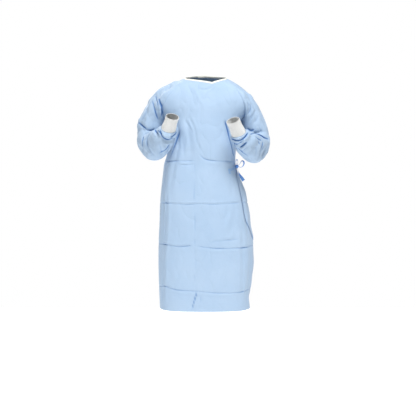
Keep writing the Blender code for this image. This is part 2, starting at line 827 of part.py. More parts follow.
def knot_place(panels):
    """(centre, its three axes) of the knot, which sits on the tie from the front."""
    off = LAY_GAP + TIE_THICK + LAY_GAP + KNOT["half"][1]
    centre, normal = on_panel("front", panels, KNOT["turn"], KNOT["level"], off)
    sideways = unit(np.cross(normal, (0, 0, 1)))
    return centre, (sideways, normal, np.cross(sideways, normal))


def knot_surface(panels, toward):
    """The point just off the knot's surface on the way to another point."""
    centre, axes = knot_place(panels)
    way = unit(np.array(toward) - centre)
    reach = 1 / math.sqrt(sum((np.dot(way, a) / h) ** 2 for a, h in zip(axes, KNOT["half"])))
    return centre + way * (reach + LAY_GAP)


def route_from_knot(columns, wanted, panels, returns):
    """Values at even steps along a route that starts, and may end, at the knot."""
    rows = {name: list(values) for name, values in columns.items()}
    first = knot_surface(panels, [rows[n][0] for n in "xyz"])
    last = knot_surface(panels, [rows[n][-1] for n in "xyz"])
    for name, a, b in zip("xyz", first, last):
        rows[name] = [a] + rows[name] + ([b] if returns else [])
    for name in set(rows) - set("xyz"):
        rows[name] = [rows[name][0]] + rows[name] + ([rows[name][-1]] if returns else [])
    count = len(rows["x"])
    keyed = {name: np.array(values) for name, values in rows.items()}
    keyed["step"] = np.arange(count, dtype=float)
    steps = [(count - 1) * i / RIBBON_STEPS for i in range(RIBBON_STEPS + 1)]
    return np.array([[smooth(keyed, "step", name, at) for name in wanted] for at in steps])


def knot(panels):
    """The bow's knot, a rounded lump."""
    centre, axes = knot_place(panels)
    work = bmesh.new()
    around, rings = KNOT_SEGMENTS
    bmesh.ops.create_uvsphere(work, u_segments=around, v_segments=rings, radius=1.0)
    for vert in work.verts:
        vert.co = centre + sum(a * c * h for a, c, h in zip(axes, vert.co, KNOT["half"]))
    bmesh.ops.recalc_face_normals(work, faces=work.faces[:])
    bmesh.ops.triangulate(work, faces=work.faces[:])
    mesh = bpy.data.meshes.new("tie_knot")
    work.to_mesh(mesh)
    work.free()
    return finished("tie_knot", mesh, TIE_BLUE, TIE_ROUGH)


def back_tie_grid(panels):
    """The tie from the wrap-over: along its outer face, then free to the knot."""
    grid = laid("back_wrap", panels, TIE_BACK, STRIP_ROWS, TIE_BACK_STEPS)
    end = knot_surface(panels, grid[STRIP_ROWS // 2, -1])
    ends = np.array([end + LINK_HALF, end, end - LINK_HALF])
    share = np.linspace(0, 1, TIE_LINK_STEPS)[1:]
    free = [grid[:, -1] * (1 - s) + ends * s for s in share]
    return np.concatenate([grid, np.array(free).transpose(1, 0, 2)], axis=1)


def ties(panels):
    """The waist tie: its patch, its two strips, the knot, the loops and the free end."""
    strip("tie_patch", laid("front", panels, PATCH, STRIP_ROWS, PATCH_STEPS)[:, ::-1])
    strip("tie_front", laid("front", panels, TIE_FRONT, STRIP_ROWS, TIE_FRONT_STEPS)[:, ::-1])
    strip("tie_back", back_tie_grid(panels))
    knot(panels)
    plain = [TIE_WIDTH] * (RIBBON_STEPS + 1)
    for name, columns in (("tie_loop", LOOP), ("tie_loop_upper", UPPER_LOOP)):
        route = route_from_knot(columns, ("x", "y", "z"), panels, True)
        twist = route_from_knot(columns, ("twist",), panels, True)
        ribbon(name, route, plain, twist[:, 0])
    route = route_from_knot(TAIL, ("x", "y", "z"), panels, False)
    shape = route_from_knot(TAIL, ("width", "twist"), panels, False)
    ribbon("tie_tail", route, shape[:, 0], shape[:, 1])


def main():
    for old in list(bpy.data.objects):
        bpy.data.objects.remove(old)
    grids = {
        "front": (panel_grid(front_point, FRONT_COLUMNS), False, False),
        "back_wrap": (panel_grid(wrap_point, WRAP_COLUMNS), False, True),
        "back_under": (panel_grid(under_point, UNDER_COLUMNS), False, False),
    }
    for side in SIDES:
        grid = sleeve_grid(side, YOKE_ROWS, NECK_ARC_STEPS, SHOULDER_RINGS, SLEEVE_RINGS)
        grids["sleeve_" + side] = (grid, True, side == "right")
    normals = shared_normals(grids)
    for name, (grid, closed, flip) in grids.items():
        wall(name, grid, normals[name], CLOTH, closed, flip, BLUE, CLOTH_ROUGH)
    turns = 2 * YOKE_ROWS + NECK_ARC_STEPS
    for side in SIDES:
        grid = cuff_grid(side, turns, CUFF_RINGS)
        flip = side == "right"
        own = shared_normals({"cuff": (grid, True, flip)})["cuff"]
        wall("cuff_" + side, grid, own, CUFF_THICK, True, flip, KNIT_WHITE, KNIT_ROUGH, 0.0)
    binding(*neck_edge((grids, normals)))
    ties((grids, normals))


GOWN = bpy.data.collections.new("surgical_gown")
bpy.context.scene.collection.children.link(GOWN)
main()
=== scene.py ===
"""The look of a wrap-over surgical gown, hollow as worn, with its sleeves raised in front."""

import math

import bmesh
import bpy
import numpy as np
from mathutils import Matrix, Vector


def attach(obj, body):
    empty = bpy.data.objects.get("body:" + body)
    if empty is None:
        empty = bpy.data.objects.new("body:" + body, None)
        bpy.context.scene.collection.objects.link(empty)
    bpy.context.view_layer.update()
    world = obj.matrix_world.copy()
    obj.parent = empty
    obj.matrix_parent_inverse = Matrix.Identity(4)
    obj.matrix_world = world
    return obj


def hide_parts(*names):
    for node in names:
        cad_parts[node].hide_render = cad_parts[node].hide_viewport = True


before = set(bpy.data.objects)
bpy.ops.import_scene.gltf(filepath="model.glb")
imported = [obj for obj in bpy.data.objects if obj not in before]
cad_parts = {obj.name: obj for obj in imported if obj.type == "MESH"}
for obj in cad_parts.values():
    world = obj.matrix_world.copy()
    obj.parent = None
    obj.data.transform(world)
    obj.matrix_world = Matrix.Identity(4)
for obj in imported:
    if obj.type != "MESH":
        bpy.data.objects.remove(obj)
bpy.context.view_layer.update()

bpy.ops.object.select_all(action="DESELECT")

# Sizes of the gown, in metres
CLOTH = 0.0008
HEM_LEVEL = -1.130
ARMPIT_LEVEL = -0.212
LAP_GAP = 0.0045
EDGE_PRESS = 0.40
BINDING_HEIGHT = 0.0085
BINDING_THICK = 0.0030
BINDING_UPRIGHT = 0.5
CUFF_THICK = 0.0014
TIE_WIDTH = 0.011
TIE_THICK = 0.0007
TIE_LIFT = 0.0019
SQUARENESS = 0.20
FRONT_ARC_AT_NECK = math.radians(48)
FLOOR_LEVEL = -1.52

NECK_EDGE_CURVE = 0.85
CURVE_GAIN = 1.2
MIDDLE_SHIFT_REACH = 0.3
NORMAL_STEP = 0.01
FOLD_FADE_SIDE = 0.12
FOLD_FADE_NECK = 0.25
LAP_FROM_TURN = -0.98
LAP_RUN = 0.45
SMOOTH_ANGLE = math.radians(40)
FACING = 0.12
BLENDED_POINTS = 6
HUNDREDTHS = 100
MILLIMETRES = 1000

RIB_HEIGHT = 0.0007
RIB_STEPS = 5
CUFF_SLACK = 0.0008
TAPE_SECTION = (
    (-1.00, 0.00), (-1.00, 0.25), (-1.00, 0.50), (-0.97, 0.75), (-0.80, 0.90), (-0.45, 0.98),
    (0.00, 1.00), (0.45, 0.98), (0.80, 0.90), (0.97, 0.75), (1.00, 0.50), (1.00, 0.25), (1.00, 0.00),
)
TIE_RIPPLE = 0.0006
KNOT_OFF = 0.0100
KNOT_BITE = 0.0008
KNOT_TURNS = 0.13
LINK_HALF = 0.0045
RIBBON_STEPS = 64
RIBBON_THREADS = 7
RIBBON_CUP = 0.0009

# Threads of the grids that the cloth is laid out on
YOKE_ROWS = 72
SKIRT_ROWS = 244
FRONT_COLUMNS = 150
WRAP_COLUMNS = 152
UNDER_COLUMNS = 84
NECK_ARC_STEPS = 30
SHOULDER_RINGS = 60
ARM_RINGS = 150
CUFF_RIBS = 84
CUFF_RINGS = 26


def table(names, rows):
    """Rows of numbers as one array for each named column."""
    columns = np.array(rows, float).T
    return dict(zip(names.split(), columns))


# Half widths and depths of the body below the armpits, seen level by level
BODY = table(
    "level left right front back side",
    [
        (-0.212, -0.192, 0.172, -0.136, 0.126, 0.004),
        (-0.255, -0.183, 0.162, -0.138, 0.124, 0.002),
        (-0.330, -0.180, 0.152, -0.138, 0.114, 0.000),
        (-0.385, -0.190, 0.144, -0.135, 0.104, -0.004),
        (-0.420, -0.201, 0.144, -0.134, 0.102, -0.006),
        (-0.460, -0.206, 0.154, -0.136, 0.104, -0.006),
        (-0.520, -0.213, 0.173, -0.140, 0.112, -0.005),
        (-0.600, -0.221, 0.194, -0.145, 0.122, -0.004),
        (-0.710, -0.225, 0.211, -0.149, 0.131, -0.003),
        (-0.790, -0.229, 0.226, -0.151, 0.136, -0.002),
        (-0.900, -0.231, 0.231, -0.153, 0.140, 0.000),
        (-1.000, -0.229, 0.222, -0.154, 0.142, 0.000),
        (-1.060, -0.227, 0.212, -0.154, 0.143, 0.000),
        (-1.130, -0.224, 0.218, -0.155, 0.144, 0.000),
    ],
)

# The centre line of the front and of the back, from the neck edge down to the armpits
FRONT_CENTRE = table(
    "share x y z",
    [
        (0.00, 0.032, -0.098, -0.040),
        (0.20, 0.026, -0.108, -0.068),
        (0.45, 0.014, -0.122, -0.108),
        (0.70, 0.000, -0.131, -0.152),
        (1.00, -0.010, -0.136, -0.212),
    ],
)
BACK_CENTRE = table(
    "share x y z",
    [
        (0.00, 0.000, 0.074, 0.003),
        (0.15, 0.000, 0.094, -0.014),
        (0.40, -0.003, 0.116, -0.072),
        (0.70, -0.007, 0.127, -0.142),
        (1.00, -0.010, 0.126, -0.212),
    ],
)

# The raglan seams, from the neck edge to the armpit; out is the distance from the body's middle
RAGLAN_MIDDLE = -0.010
FRONT_RAGLAN = table(
    "share out y z",
    [
        (0.00, 0.096, -0.056, -0.018),
        (0.18, 0.136, -0.086, -0.050),
        (0.36, 0.166, -0.099, -0.088),
        (0.56, 0.188, -0.098, -0.132),
        (0.76, 0.195, -0.076, -0.174),
        (0.90, 0.190, -0.038, -0.202),
        (1.00, 0.182, 0.004, -0.212),
    ],
)
BACK_RAGLAN = table(
    "share out y z",
    [
        (0.00, 0.090, 0.046, -0.004),
        (0.18, 0.130, 0.078, -0.040),
        (0.36, 0.160, 0.098, -0.086),
        (0.56, 0.183, 0.102, -0.132),
        (0.76, 0.193, 0.082, -0.176),
        (0.90, 0.190, 0.044, -0.203),
        (1.00, 0.182, 0.004, -0.212),
    ],
)
NECK_SIDE_OUT = 0.105
NECK_SIDE_LEVEL = -0.009

# Where the free edge of the wrap-over back lies, level by level. Turn 0 is the centre back,
# 1 is the gown's left side and 2 is the centre front. Off is how far it stands off.
WRAP_EDGE = table(
    "level turn off",
    [
        (0.000, 0.36, 0.0060),
        (-0.120, 0.42, 0.0060),
        (-0.238, 0.58, 0.0060),
        (-0.330, 0.86, 0.0060),
        (-0.420, 1.07, 0.0050),
        (-0.445, 1.12, 0.0050),
        (-0.465, 1.24, 0.0055),
        (-0.485, 1.305, 0.0060),
        (-0.520, 1.335, 0.0075),
        (-0.600, 1.36, 0.0100),
        (-0.660, 1.34, 0.0105),
        (-0.720, 1.24, 0.0085),
        (-0.780, 1.02, 0.0060),
        (-0.850, 0.90, 0.0055),
        (-0.960, 0.84, 0.0060),
        (-1.130, 0.80, 0.0065),
    ],
)
UNDER_EDGE_TURN = -0.38

# The body's broad folds, as soft troughs: where, how wide, how deep
BODY_FOLDS = table(
    "turn lean level reach width depth",
    [
        (1.28, 0.00, -0.80, 0.42, 0.060, 0.0040),
        (-1.30, 0.05, -0.62, 0.34, 0.055, 0.0045),
        (-1.55, -0.10, -0.34, 0.16, 0.050, 0.0055),
        (-1.78, 0.30, -0.30, 0.14, 0.045, 0.0045),
        (-0.62, 0.05, -0.90, 0.34, 0.070, 0.0065),
        (-0.25, -0.05, -0.75, 0.45, 0.070, 0.0055),
        (0.22, 0.10, -0.85, 0.40, 0.070, 0.0065),
        (0.62, 0.20, -0.62, 0.35, 0.060, 0.0055),
        (0.95, 0.10, -0.95, 0.25, 0.060, 0.0050),
    ],
)

# Each sleeve's pose. The pivot is the inside of its bend, and the wrist is where sleeve meets cuff.
SIDES = ("right", "left")
OUTWARD = {"right": -1.0, "left": 1.0}
ELBOW_PIVOT = {"right": (-0.238, -0.066, -0.262), "left": (0.218, -0.066, -0.276)}
UPPER_ARM_RUN = 0.016
WRIST = {"right": (-0.1734, -0.210, -0.2577), "left": (0.1556, -0.210, -0.2780)}
CUFF_END = {"right": (-0.1529, -0.247, -0.2014), "left": (0.1275, -0.247, -0.2186)}
UPPER_ARM_LEAN = {"right": 0.20, "left": 0.30}
FOREARM_START = (-0.46, -0.76, 0.46)
SHOULDER_SLOPE = math.radians(25)
ARMPIT_SLOPE = math.radians(72)
BEND_SHARE = (0.05, 0.52)

# Half sizes of the sleeve from the upper arm to the cuff seam: across the arm and through it
SLEEVE = table(
    "share across deep",
    [
        (0.00, 0.062, 0.072),
        (0.15, 0.060, 0.069),
        (0.35, 0.061, 0.068),
        (0.55, 0.061, 0.068),
        (0.70, 0.060, 0.063),
        (0.80, 0.056, 0.056),
        (0.87, 0.047, 0.045),
        (0.93, 0.049, 0.046),
        (0.97, 0.045, 0.041),
        (1.00, 0.037, 0.032),
    ],
)
CUFF = table(
    "share across deep",
    [(0.0, 0.0365, 0.0315), (0.5, 0.0345, 0.0290), (1.0, 0.0330, 0.0275)],
)
SLEEVE_FOLDS = table(
    "share turn lean along around depth",
    [
        (0.10, 0.25, 0.00, 0.050, 0.12, 0.0090),
        (0.30, 0.26, 0.10, 0.035, 0.13, 0.0070),
        (0.44, 0.23, -0.10, 0.035, 0.12, 0.0080),
        (0.58, 0.24, 0.10, 0.040, 0.12, 0.0060),
        (0.24, 0.06, 0.20, 0.045, 0.09, 0.0050),
        (0.40, 0.45, -0.20, 0.050, 0.08, 0.0045),
        (0.68, 0.58, 0.30, 0.045, 0.10, 0.0050),
        (0.76, 0.88, -0.20, 0.040, 0.10, 0.0050),
    ],
)
SHOULDER_FOLDS = table(
    "share turn lean along around depth",
    [
        (0.58, 0.20, -0.10, 0.300, 0.045, 0.0060),
        (0.64, 0.33, -0.10, 0.240, 0.040, 0.0045),
        (0.60, 0.78, 0.10, 0.300, 0.045, 0.0060),
    ],
)

# The waist tie, at the gown's left side: the patch on the front, and the bow at the edge
PATCH = {"turn": (1.502, 1.562), "level": (-0.458, -0.458), "height": 0.025}
TIE_FRONT = {"turn": (1.150, 1.494), "level": (-0.436, -0.452), "height": 0.011}
TIE_BACK = {"turn": (0.700, 1.040), "level": (-0.446, -0.440), "height": 0.011}
KNOT = {"turn": 1.205, "level": -0.4375, "half": (0.0062, 0.0078, 0.0088)}
LOOP = table(
    "x y z twist",
    [
        (0.1680, -0.0605, -0.4195, 0.00),
        (0.1735, -0.0605, -0.4100, 0.15),
        (0.1810, -0.0600, -0.4085, 0.35),
        (0.1860, -0.0600, -0.4150, 0.40),
        (0.1855, -0.0600, -0.4245, 0.35),
        (0.1810, -0.0600, -0.4340, 0.20),
        (0.1720, -0.0600, -0.4400, 0.00),
    ],
)
UPPER_LOOP = table(
    "x y z twist",
    [
        (0.1478, -0.0600, -0.4150, 0.00),
        (0.1482, -0.0600, -0.4060, 0.12),
        (0.1515, -0.0600, -0.4015, 0.15),
        (0.1555, -0.0600, -0.4060, 0.12),
        (0.1572, -0.0600, -0.4150, 0.00),
    ],
)
TAIL = table(
    "x y z twist width",
    [
        (0.1570, -0.0610, -0.4520, 0.0, 0.0110),
        (0.1600, -0.0635, -0.4610, 0.1, 0.0110),
        (0.1640, -0.0660, -0.4710, 0.3, 0.0115),
        (0.1700, -0.0680, -0.4820, 0.6, 0.0130),
        (0.1770, -0.0690, -0.4930, 0.9, 0.0150),
        (0.1840, -0.0700, -0.5040, 1.0, 0.0165),
    ],
)

# Along the seams the cloth sinks between two soft edges
SEAM_PILLOW = 0.0009
SEAM_WIDTH = 0.006
SEAM_FADE = 0.004

# The small pleats at each wrist: where round the sleeve, how wide and how high
GATHER_FROM = 0.016
GATHER_RUN = 0.017
GATHERS = table(
    "turn width height",
    [
        (0.02, 0.016, 0.0024), (0.06, 0.011, 0.0018), (0.11, 0.014, 0.0028), (0.155, 0.010, 0.0016),
        (0.19, 0.013, 0.0022), (0.245, 0.015, 0.0030), (0.29, 0.010, 0.0017), (0.335, 0.014, 0.0026),
        (0.38, 0.011, 0.0019), (0.43, 0.015, 0.0024), (0.475, 0.010, 0.0016), (0.52, 0.013, 0.0026),
        (0.565, 0.012, 0.0020), (0.61, 0.015, 0.0028), (0.66, 0.010, 0.0017), (0.70, 0.013, 0.0023),
        (0.75, 0.014, 0.0027), (0.79, 0.010, 0.0015), (0.84, 0.015, 0.0025), (0.885, 0.011, 0.0021),
        (0.93, 0.013, 0.0026), (0.97, 0.010, 0.0017),
    ],
)

# The creases, placed one by one. Each row: the view that its places are given in, its kind, its
# depth and its width in millimetres, and its places, two whole numbers each. "fold" is a sharp fold, "soft"
# a rounded one and "form" a broad fullness or hollow. A depth below 0 is a ridge.
# Places in the view "round" are hundredths: the share down the sleeve, -100 to 0 its shoulder
# and 0 to 100 its arm, and the turn round it. The others are millimetres, sideways and up, as
# that view sees the gown.
# The depth of each fold and soft crease also sets the shade painted into the cloth's colour along it; a form paints
# none.
CREASES = {
    "front": """
        front fold 3.0 4.0 -207 -411 -164 -408 -121 -408 -50 -408
        front fold -1.6 3.5 -128 -420 -88 -420 -50 -417
        front fold 2.2 3.5 -121 -429 -83 -427 -52 -424
        front fold 3.8 4.2 -31 -370 -17 -389 7 -403 50 -408 98 -409 134 -412
        front soft -1.8 7.0 10 -418 50 -422 100 -423 128 -425
        front fold -2.4 3.6 -212 -598 -160 -603 -93 -606 -26 -604 41 -606 117 -601 168 -598
        front fold 2.8 3.6 -210 -608 -160 -613 -93 -617 -26 -613 41 -616 117 -612 168 -609
        front fold 3.6 3.8 -214 -807 -170 -815 -125 -818 -93 -816 -58 -810
        front fold -1.7 3.6 -210 -797 -165 -804 -120 -807 -70 -802
        front fold 2.6 3.8 20 -798 55 -791 83 -789 122 -786 166 -780
        front soft -1.4 7.0 40 -782 83 -777 130 -772
        front fold 3.8 3.8 -40 -814 7 -822 56 -826 132 -827 212 -826
        front soft -1.6 7.0 -30 -834 40 -838 110 -838 170 -838
        front fold 3.8 3.8 -215 -1007 -180 -1018 -141 -1026 -89 -1029 -36 -1031
        front fold 3.2 3.8 -45 -1030 7 -1036 55 -1040 132 -1041 206 -1040
        front soft -1.6 7.0 -190 -1030 -120 -1040 -50 -1043 30 -1049 120 -1052
        front fold 2.2 3.6 -52 -414 -49 -475 -53 -546 -55 -609
        front soft -1.4 6.0 -40 -440 -36 -500 -40 -580
        front fold 2.0 3.6 -55 -613 -50 -690 -53 -762 -51 -819
        front soft -1.3 6.0 -66 -640 -62 -710 -65 -790
        front fold 1.8 3.6 -51 -822 -47 -900 -50 -970 -44 -1031
        front fold 5.5 4.4 -41 -1026 -50 -1065 -60 -1099 -68 -1134
        front fold -3.0 4.2 -36 -1034 -38 -1068 -44 -1100 -48 -1128
        front fold 2.6 4.0 -28 -1036 -24 -1070 -27 -1106
        front soft 2.6 6.0 -186 -560 -189 -613 -196 -738 -201 -858 -206 -978 -211 -1108
        front soft -2.2 8.0 -172 -580 -176 -738 -183 -858 -188 -978 -192 -1100
        front soft 1.8 7.0 175 -714 180 -810 180 -930 182 -1075
        front soft -1.5 8.0 160 -740 163 -830 163 -940 166 -1060
        left form -5.0 17.0 -16 -780 -10 -860 -6 -960 -6 -1080
        front soft 2.2 4.2 -78 -200 -60 -240 -50 -270 -45 -308 -31 -342 -17 -365 2 -394
        front soft -1.6 5.0 -68 -190 -46 -240 -36 -280 -28 -320 -12 -350
        front soft 2.2 4.5 -98 -206 -93 -223 -74 -251 -60 -285
        front soft -1.6 5.0 -86 -208 -74 -232 -62 -262
        front soft -1.6 7.0 -108 -230 -96 -262 -88 -300 -86 -340
        front soft 1.6 7.0 -120 -250 -112 -290 -106 -340 -104 -390
        front soft -1.8 7.0 56 -46 30 -62 4 -84 -10 -110
        front soft 1.8 6.0 40 -48 12 -66 -20 -68 -40 -62
        front soft 1.6 8.0 70 -60 52 -90 34 -118
        front soft -1.6 8.0 -60 -50 -44 -82 -26 -120 -10 -150
        front soft 1.5 7.0 -80 -56 -64 -94 -50 -140
        front fold 9.0 6.5 91 -208 108 -265 117 -303 130 -346 141 -390
        right fold 2.8 3.8 -120 -408 -60 -411 4 -409
        right fold 2.6 3.6 -124 -609 -60 -612 4 -609
        right fold 3.2 3.8 -126 -809 -60 -812 4 -811
        right fold 3.2 3.8 -126 -1012 -60 -1019 4 -1022
        left fold 3.2 3.8 -126 -826 -60 -823 4 -824
        left fold 3.2 3.8 -126 -1039 -60 -1036 4 -1035
        front soft -2.4 8.0 76 -226 90 -270 99 -310 111 -352
        front fold 4.5 5.0 -141 -216 -135 -251
        front fold 9.0 6.5 -122 -258 -137 -302 -154 -344 -171 -392
        front soft -2.2 8.0 -116 -290 -130 -326 -144 -362
        front soft -1.8 9.0 131 -620 117 -671 103 -714 89 -752
        front soft 1.8 9.0 150 -630 138 -680 124 -730 112 -770
        front soft 1.6 9.0 108 -640 96 -690 80 -730
        front soft 1.8 10.0 132 -440 126 -480 124 -530 130 -590
        front soft 2.0 9.0 -150 -420 -160 -470 -166 -530 -168 -590
        front soft -1.6 9.0 -132 -430 -142 -480 -148 -540
    """,
    "back_wrap": """
        back fold 2.6 3.8 -200 -412 -140 -407 -60 -410 -8 -406
        back fold 3.0 3.8 14 -405 70 -409 120 -404 146 -408
        back soft -1.6 7.0 -150 -424 -80 -427 -10 -422 80 -424
        back fold -2.2 3.6 -214 -602 -130 -606 -40 -603 60 -607 150 -602 192 -605
        back fold 2.6 3.6 -210 -613 -130 -617 -40 -614 60 -618 150 -613 190 -616
        back fold 3.4 3.8 -218 -812 -150 -817 -80 -814 -4 -820
        back fold 3.0 3.8 12 -816 90 -822 160 -818 220 -823
        back soft -1.6 7.0 -160 -831 -60 -828 60 -834 160 -832
        back fold 3.4 3.8 -220 -1024 -140 -1029 -60 -1025 6 -1031
        back fold 3.0 3.8 12 -1030 100 -1035 214 -1032
        back soft -1.5 7.0 -170 -1041 -70 -1039 50 -1045 170 -1044
        back fold 1.8 3.8 8 -60 10 -140 6 -240 10 -330 6 -406
        back fold 2.2 3.8 6 -409 10 -500 5 -613
        back fold 2.0 3.8 5 -616 9 -720 4 -817
        back fold 2.2 3.8 4 -820 10 -920 6 -1028
        back fold 2.8 4.2 8 -1031 16 -1078 22 -1128
        back soft 3.4 12.0 -128 -480 -138 -640 -150 -860 -160 -1126
        back soft -3.0 13.0 -96 -520 -104 -700 -114 -920 -120 -1126
        back soft 3.0 11.0 -52 -300 -46 -440 -52 -600 -64 -790
        back soft -2.4 12.0 -22 -340 -18 -520 -26 -720 -34 -960
        back soft 2.6 11.0 -70 -860 -76 -980 -84 -1128
        back soft 3.2 12.0 66 -430 80 -620 94 -850 104 -1128
        back soft -2.8 13.0 110 -500 124 -700 138 -920 148 -1126
        back soft 2.6 11.0 146 -450 166 -620 180 -830 188 -1040
        back soft -2.2 11.0 40 -620 50 -800 56 -1020
        back soft 3.0 9.0 140 -440 90 -432 34 -440 -40 -458
        back soft -2.4 10.0 136 -456 86 -458 30 -474 -20 -496
        back soft 2.4 9.0 134 -474 90 -490 50 -520 14 -560
        back soft 3.0 10.0 -122 -86 -106 -150 -100 -226 -104 -300
        back soft -2.4 11.0 -88 -90 -76 -160 -70 -240
        back soft 2.0 9.0 -34 -26 -50 -62 -58 -110
        back soft -2.0 9.0 20 -22 32 -60 36 -120
        back soft 2.6 10.0 70 -130 62 -210 66 -300 78 -380
        left fold 3.6 5.5 -30 -452 10 -466 52 -494 86 -534
        left fold 3.0 5.5 -22 -432 18 -420 60 -402 90 -378
        left soft -2.8 8.0 -18 -466 20 -492 48 -530 64 -580
        left soft 2.4 8.0 -34 -480 -12 -520 4 -570 10 -630
        left fold 2.4 3.6 104 -614 40 -609 -20 -614 -84 -609
        left fold -1.9 3.6 100 -603 40 -599 -20 -603 -80 -598
        left fold 3.2 3.8 116 -822 60 -818 10 -823
        left fold 3.0 3.8 118 -1033 76 -1029 40 -1034
        left soft 3.2 11.0 46 -640 50 -780 58 -940 62 -1126
        left soft -2.6 11.0 82 -600 88 -780 94 -980
        right fold 3.2 3.8 116 -813 60 -817 8 -812
        right fold 2.8 3.8 118 -1026 60 -1022 10 -1027
        right fold 2.4 3.6 104 -612 50 -616 6 -611
        right soft 3.0 11.0 50 -440 54 -600 62 -800 70 -1080
        right soft -2.6 11.0 80 -480 88 -680 94 -920
        right soft 2.6 9.0 12 -250 40 -300 58 -360 64 -420
        front soft 2.2 7.0 172 -520 182 -580 188 -650 190 -710
        front soft -2.0 7.0 184 -560 196 -630 202 -700 206 -760
        left form -6.0 17.0 -10 -500 -6 -600 0 -720 10 -860 16 -980
        front fold 2.4 3.6 166 -610 186 -608 206 -612
    """,
    "back_under": """
        back fold 2.4 3.8 150 -404 120 -408 80 -405
        back soft 2.6 9.0 128 -100 118 -170 116 -250 124 -330
        back soft -2.2 10.0 98 -100 90 -180 92 -270 104 -350
        back soft 1.8 8.0 60 -24 76 -60 84 -110
        left soft 2.8 9.0 30 -240 50 -290 58 -350 50 -410
        left soft -2.2 9.0 8 -260 22 -310 30 -370
        left fold 2.4 3.8 100 -407 50 -411 8 -406
        back fold 2.4 3.8 210 -612 120 -616 20 -612 -60 -615
        back fold 2.6 3.8 220 -818 120 -822 20 -817 -60 -821
        back fold 2.6 3.8 216 -1031 120 -1034 20 -1030 -60 -1033
        back soft 2.4 11.0 150 -480 166 -700 176 -900 180 -1120
    """,
    "sleeve_right": """
        front form -7.0 12.0 -322 -196 -329 -222 -327 -256
        front form 11.0 24.0 -324 -340 -312 -376 -292 -404
        round form 8.0 27.0 24 50 33 52 42 54 50 56
        round form -13.0 32.0 -92 46 -62 48 -34 50
        front form 4.0 14.0 -276 -118 -300 -150 -312 -178
        front fold 5.5 4.6 -241 -91 -233 -120 -226 -150
        front fold 7.5 5.4 -227 -105 -218 -135 -211 -164 -207 -192
        front soft -3.2 5.0 -235 -100 -225 -135 -219 -169 -217 -197
        front fold 4.0 5.5 -258 -113 -251 -144 -243 -168 -234 -197 -225 -216
        front soft 6.5 11.0 -199 -122 -207 -141 -205 -178 -215 -206
        front fold 8.5 5.0 -326 -222 -303 -242 -283 -257
        front fold 7.0 4.2 -284 -262 -264 -261 -240 -254
        front fold 8.0 4.6 -242 -255 -227 -277 -213 -296
        front fold 6.0 4.0 -224 -262 -212 -279 -203 -293
        front soft -3.0 5.0 -252 -268 -238 -284 -224 -302
        front fold 9.5 5.5 -212 -260 -207 -286 -193 -303 -172 -309 -150 -300
        front fold 8.5 5.5 -166 -302 -142 -284 -133 -268
        front soft -4.0 6.5 -207 -272 -193 -291 -174 -296 -152 -284 -137 -268
        front soft -3.6 6.5 -218 -303 -194 -321 -172 -327 -152 -314
        front fold 6.5 5.0 -300 -290 -306 -327 -303 -356
        front soft -3.4 6.0 -290 -288 -295 -327 -290 -362
        front soft 5.0 8.0 -256 -270 -277 -294 -281 -318 -278 -352
        front soft -2.2 8.0 -247 -304 -233 -342 -226 -380
        front soft 2.4 8.0 -222 -318 -210 -350 -206 -384
        front soft 4.5 8.0 -166 -322 -170 -347 -186 -374
        front soft 3.2 7.0 -286 -168 -301 -196 -312 -216
        front soft -2.6 8.0 -270 -176 -284 -206 -292 -236
        front soft 2.2 8.0 -272 -128 -284 -157 -285 -187
        front soft 2.6 7.0 -214 -70 -220 -90 -216 -111
        front soft -2.2 7.0 -189 -56 -198 -76 -194 -107
        front soft 2.2 7.0 -162 -42 -171 -57 -177 -80
        round soft 3.2 8.0 8 36 13 48 18 60
        round soft -2.4 9.0 18 40 22 52 26 66
        round soft 3.0 8.0 42 42 42 54 40 66
        round soft 2.8 9.0 60 44 56 56 50 66
        round soft 3.4 9.0 -80 80 -50 74 -15 72
        round soft -2.8 9.0 -75 86 -45 80 -10 78
        round fold 3.6 6.0 -72 68 -42 65 -12 67
        round soft 3.0 8.0 -60 92 -30 88 0 90
        round soft -2.4 9.0 5 70 20 74 36 72
        round soft 2.8 8.0 10 86 22 80 32 72
        round fold 4.0 5.5 60 66 72 72 84 74
        round soft 2.8 8.0 62 88 76 84 88 86
        round fold 6.0 5.5 90 78 88 88 90 98 89 110
    """,
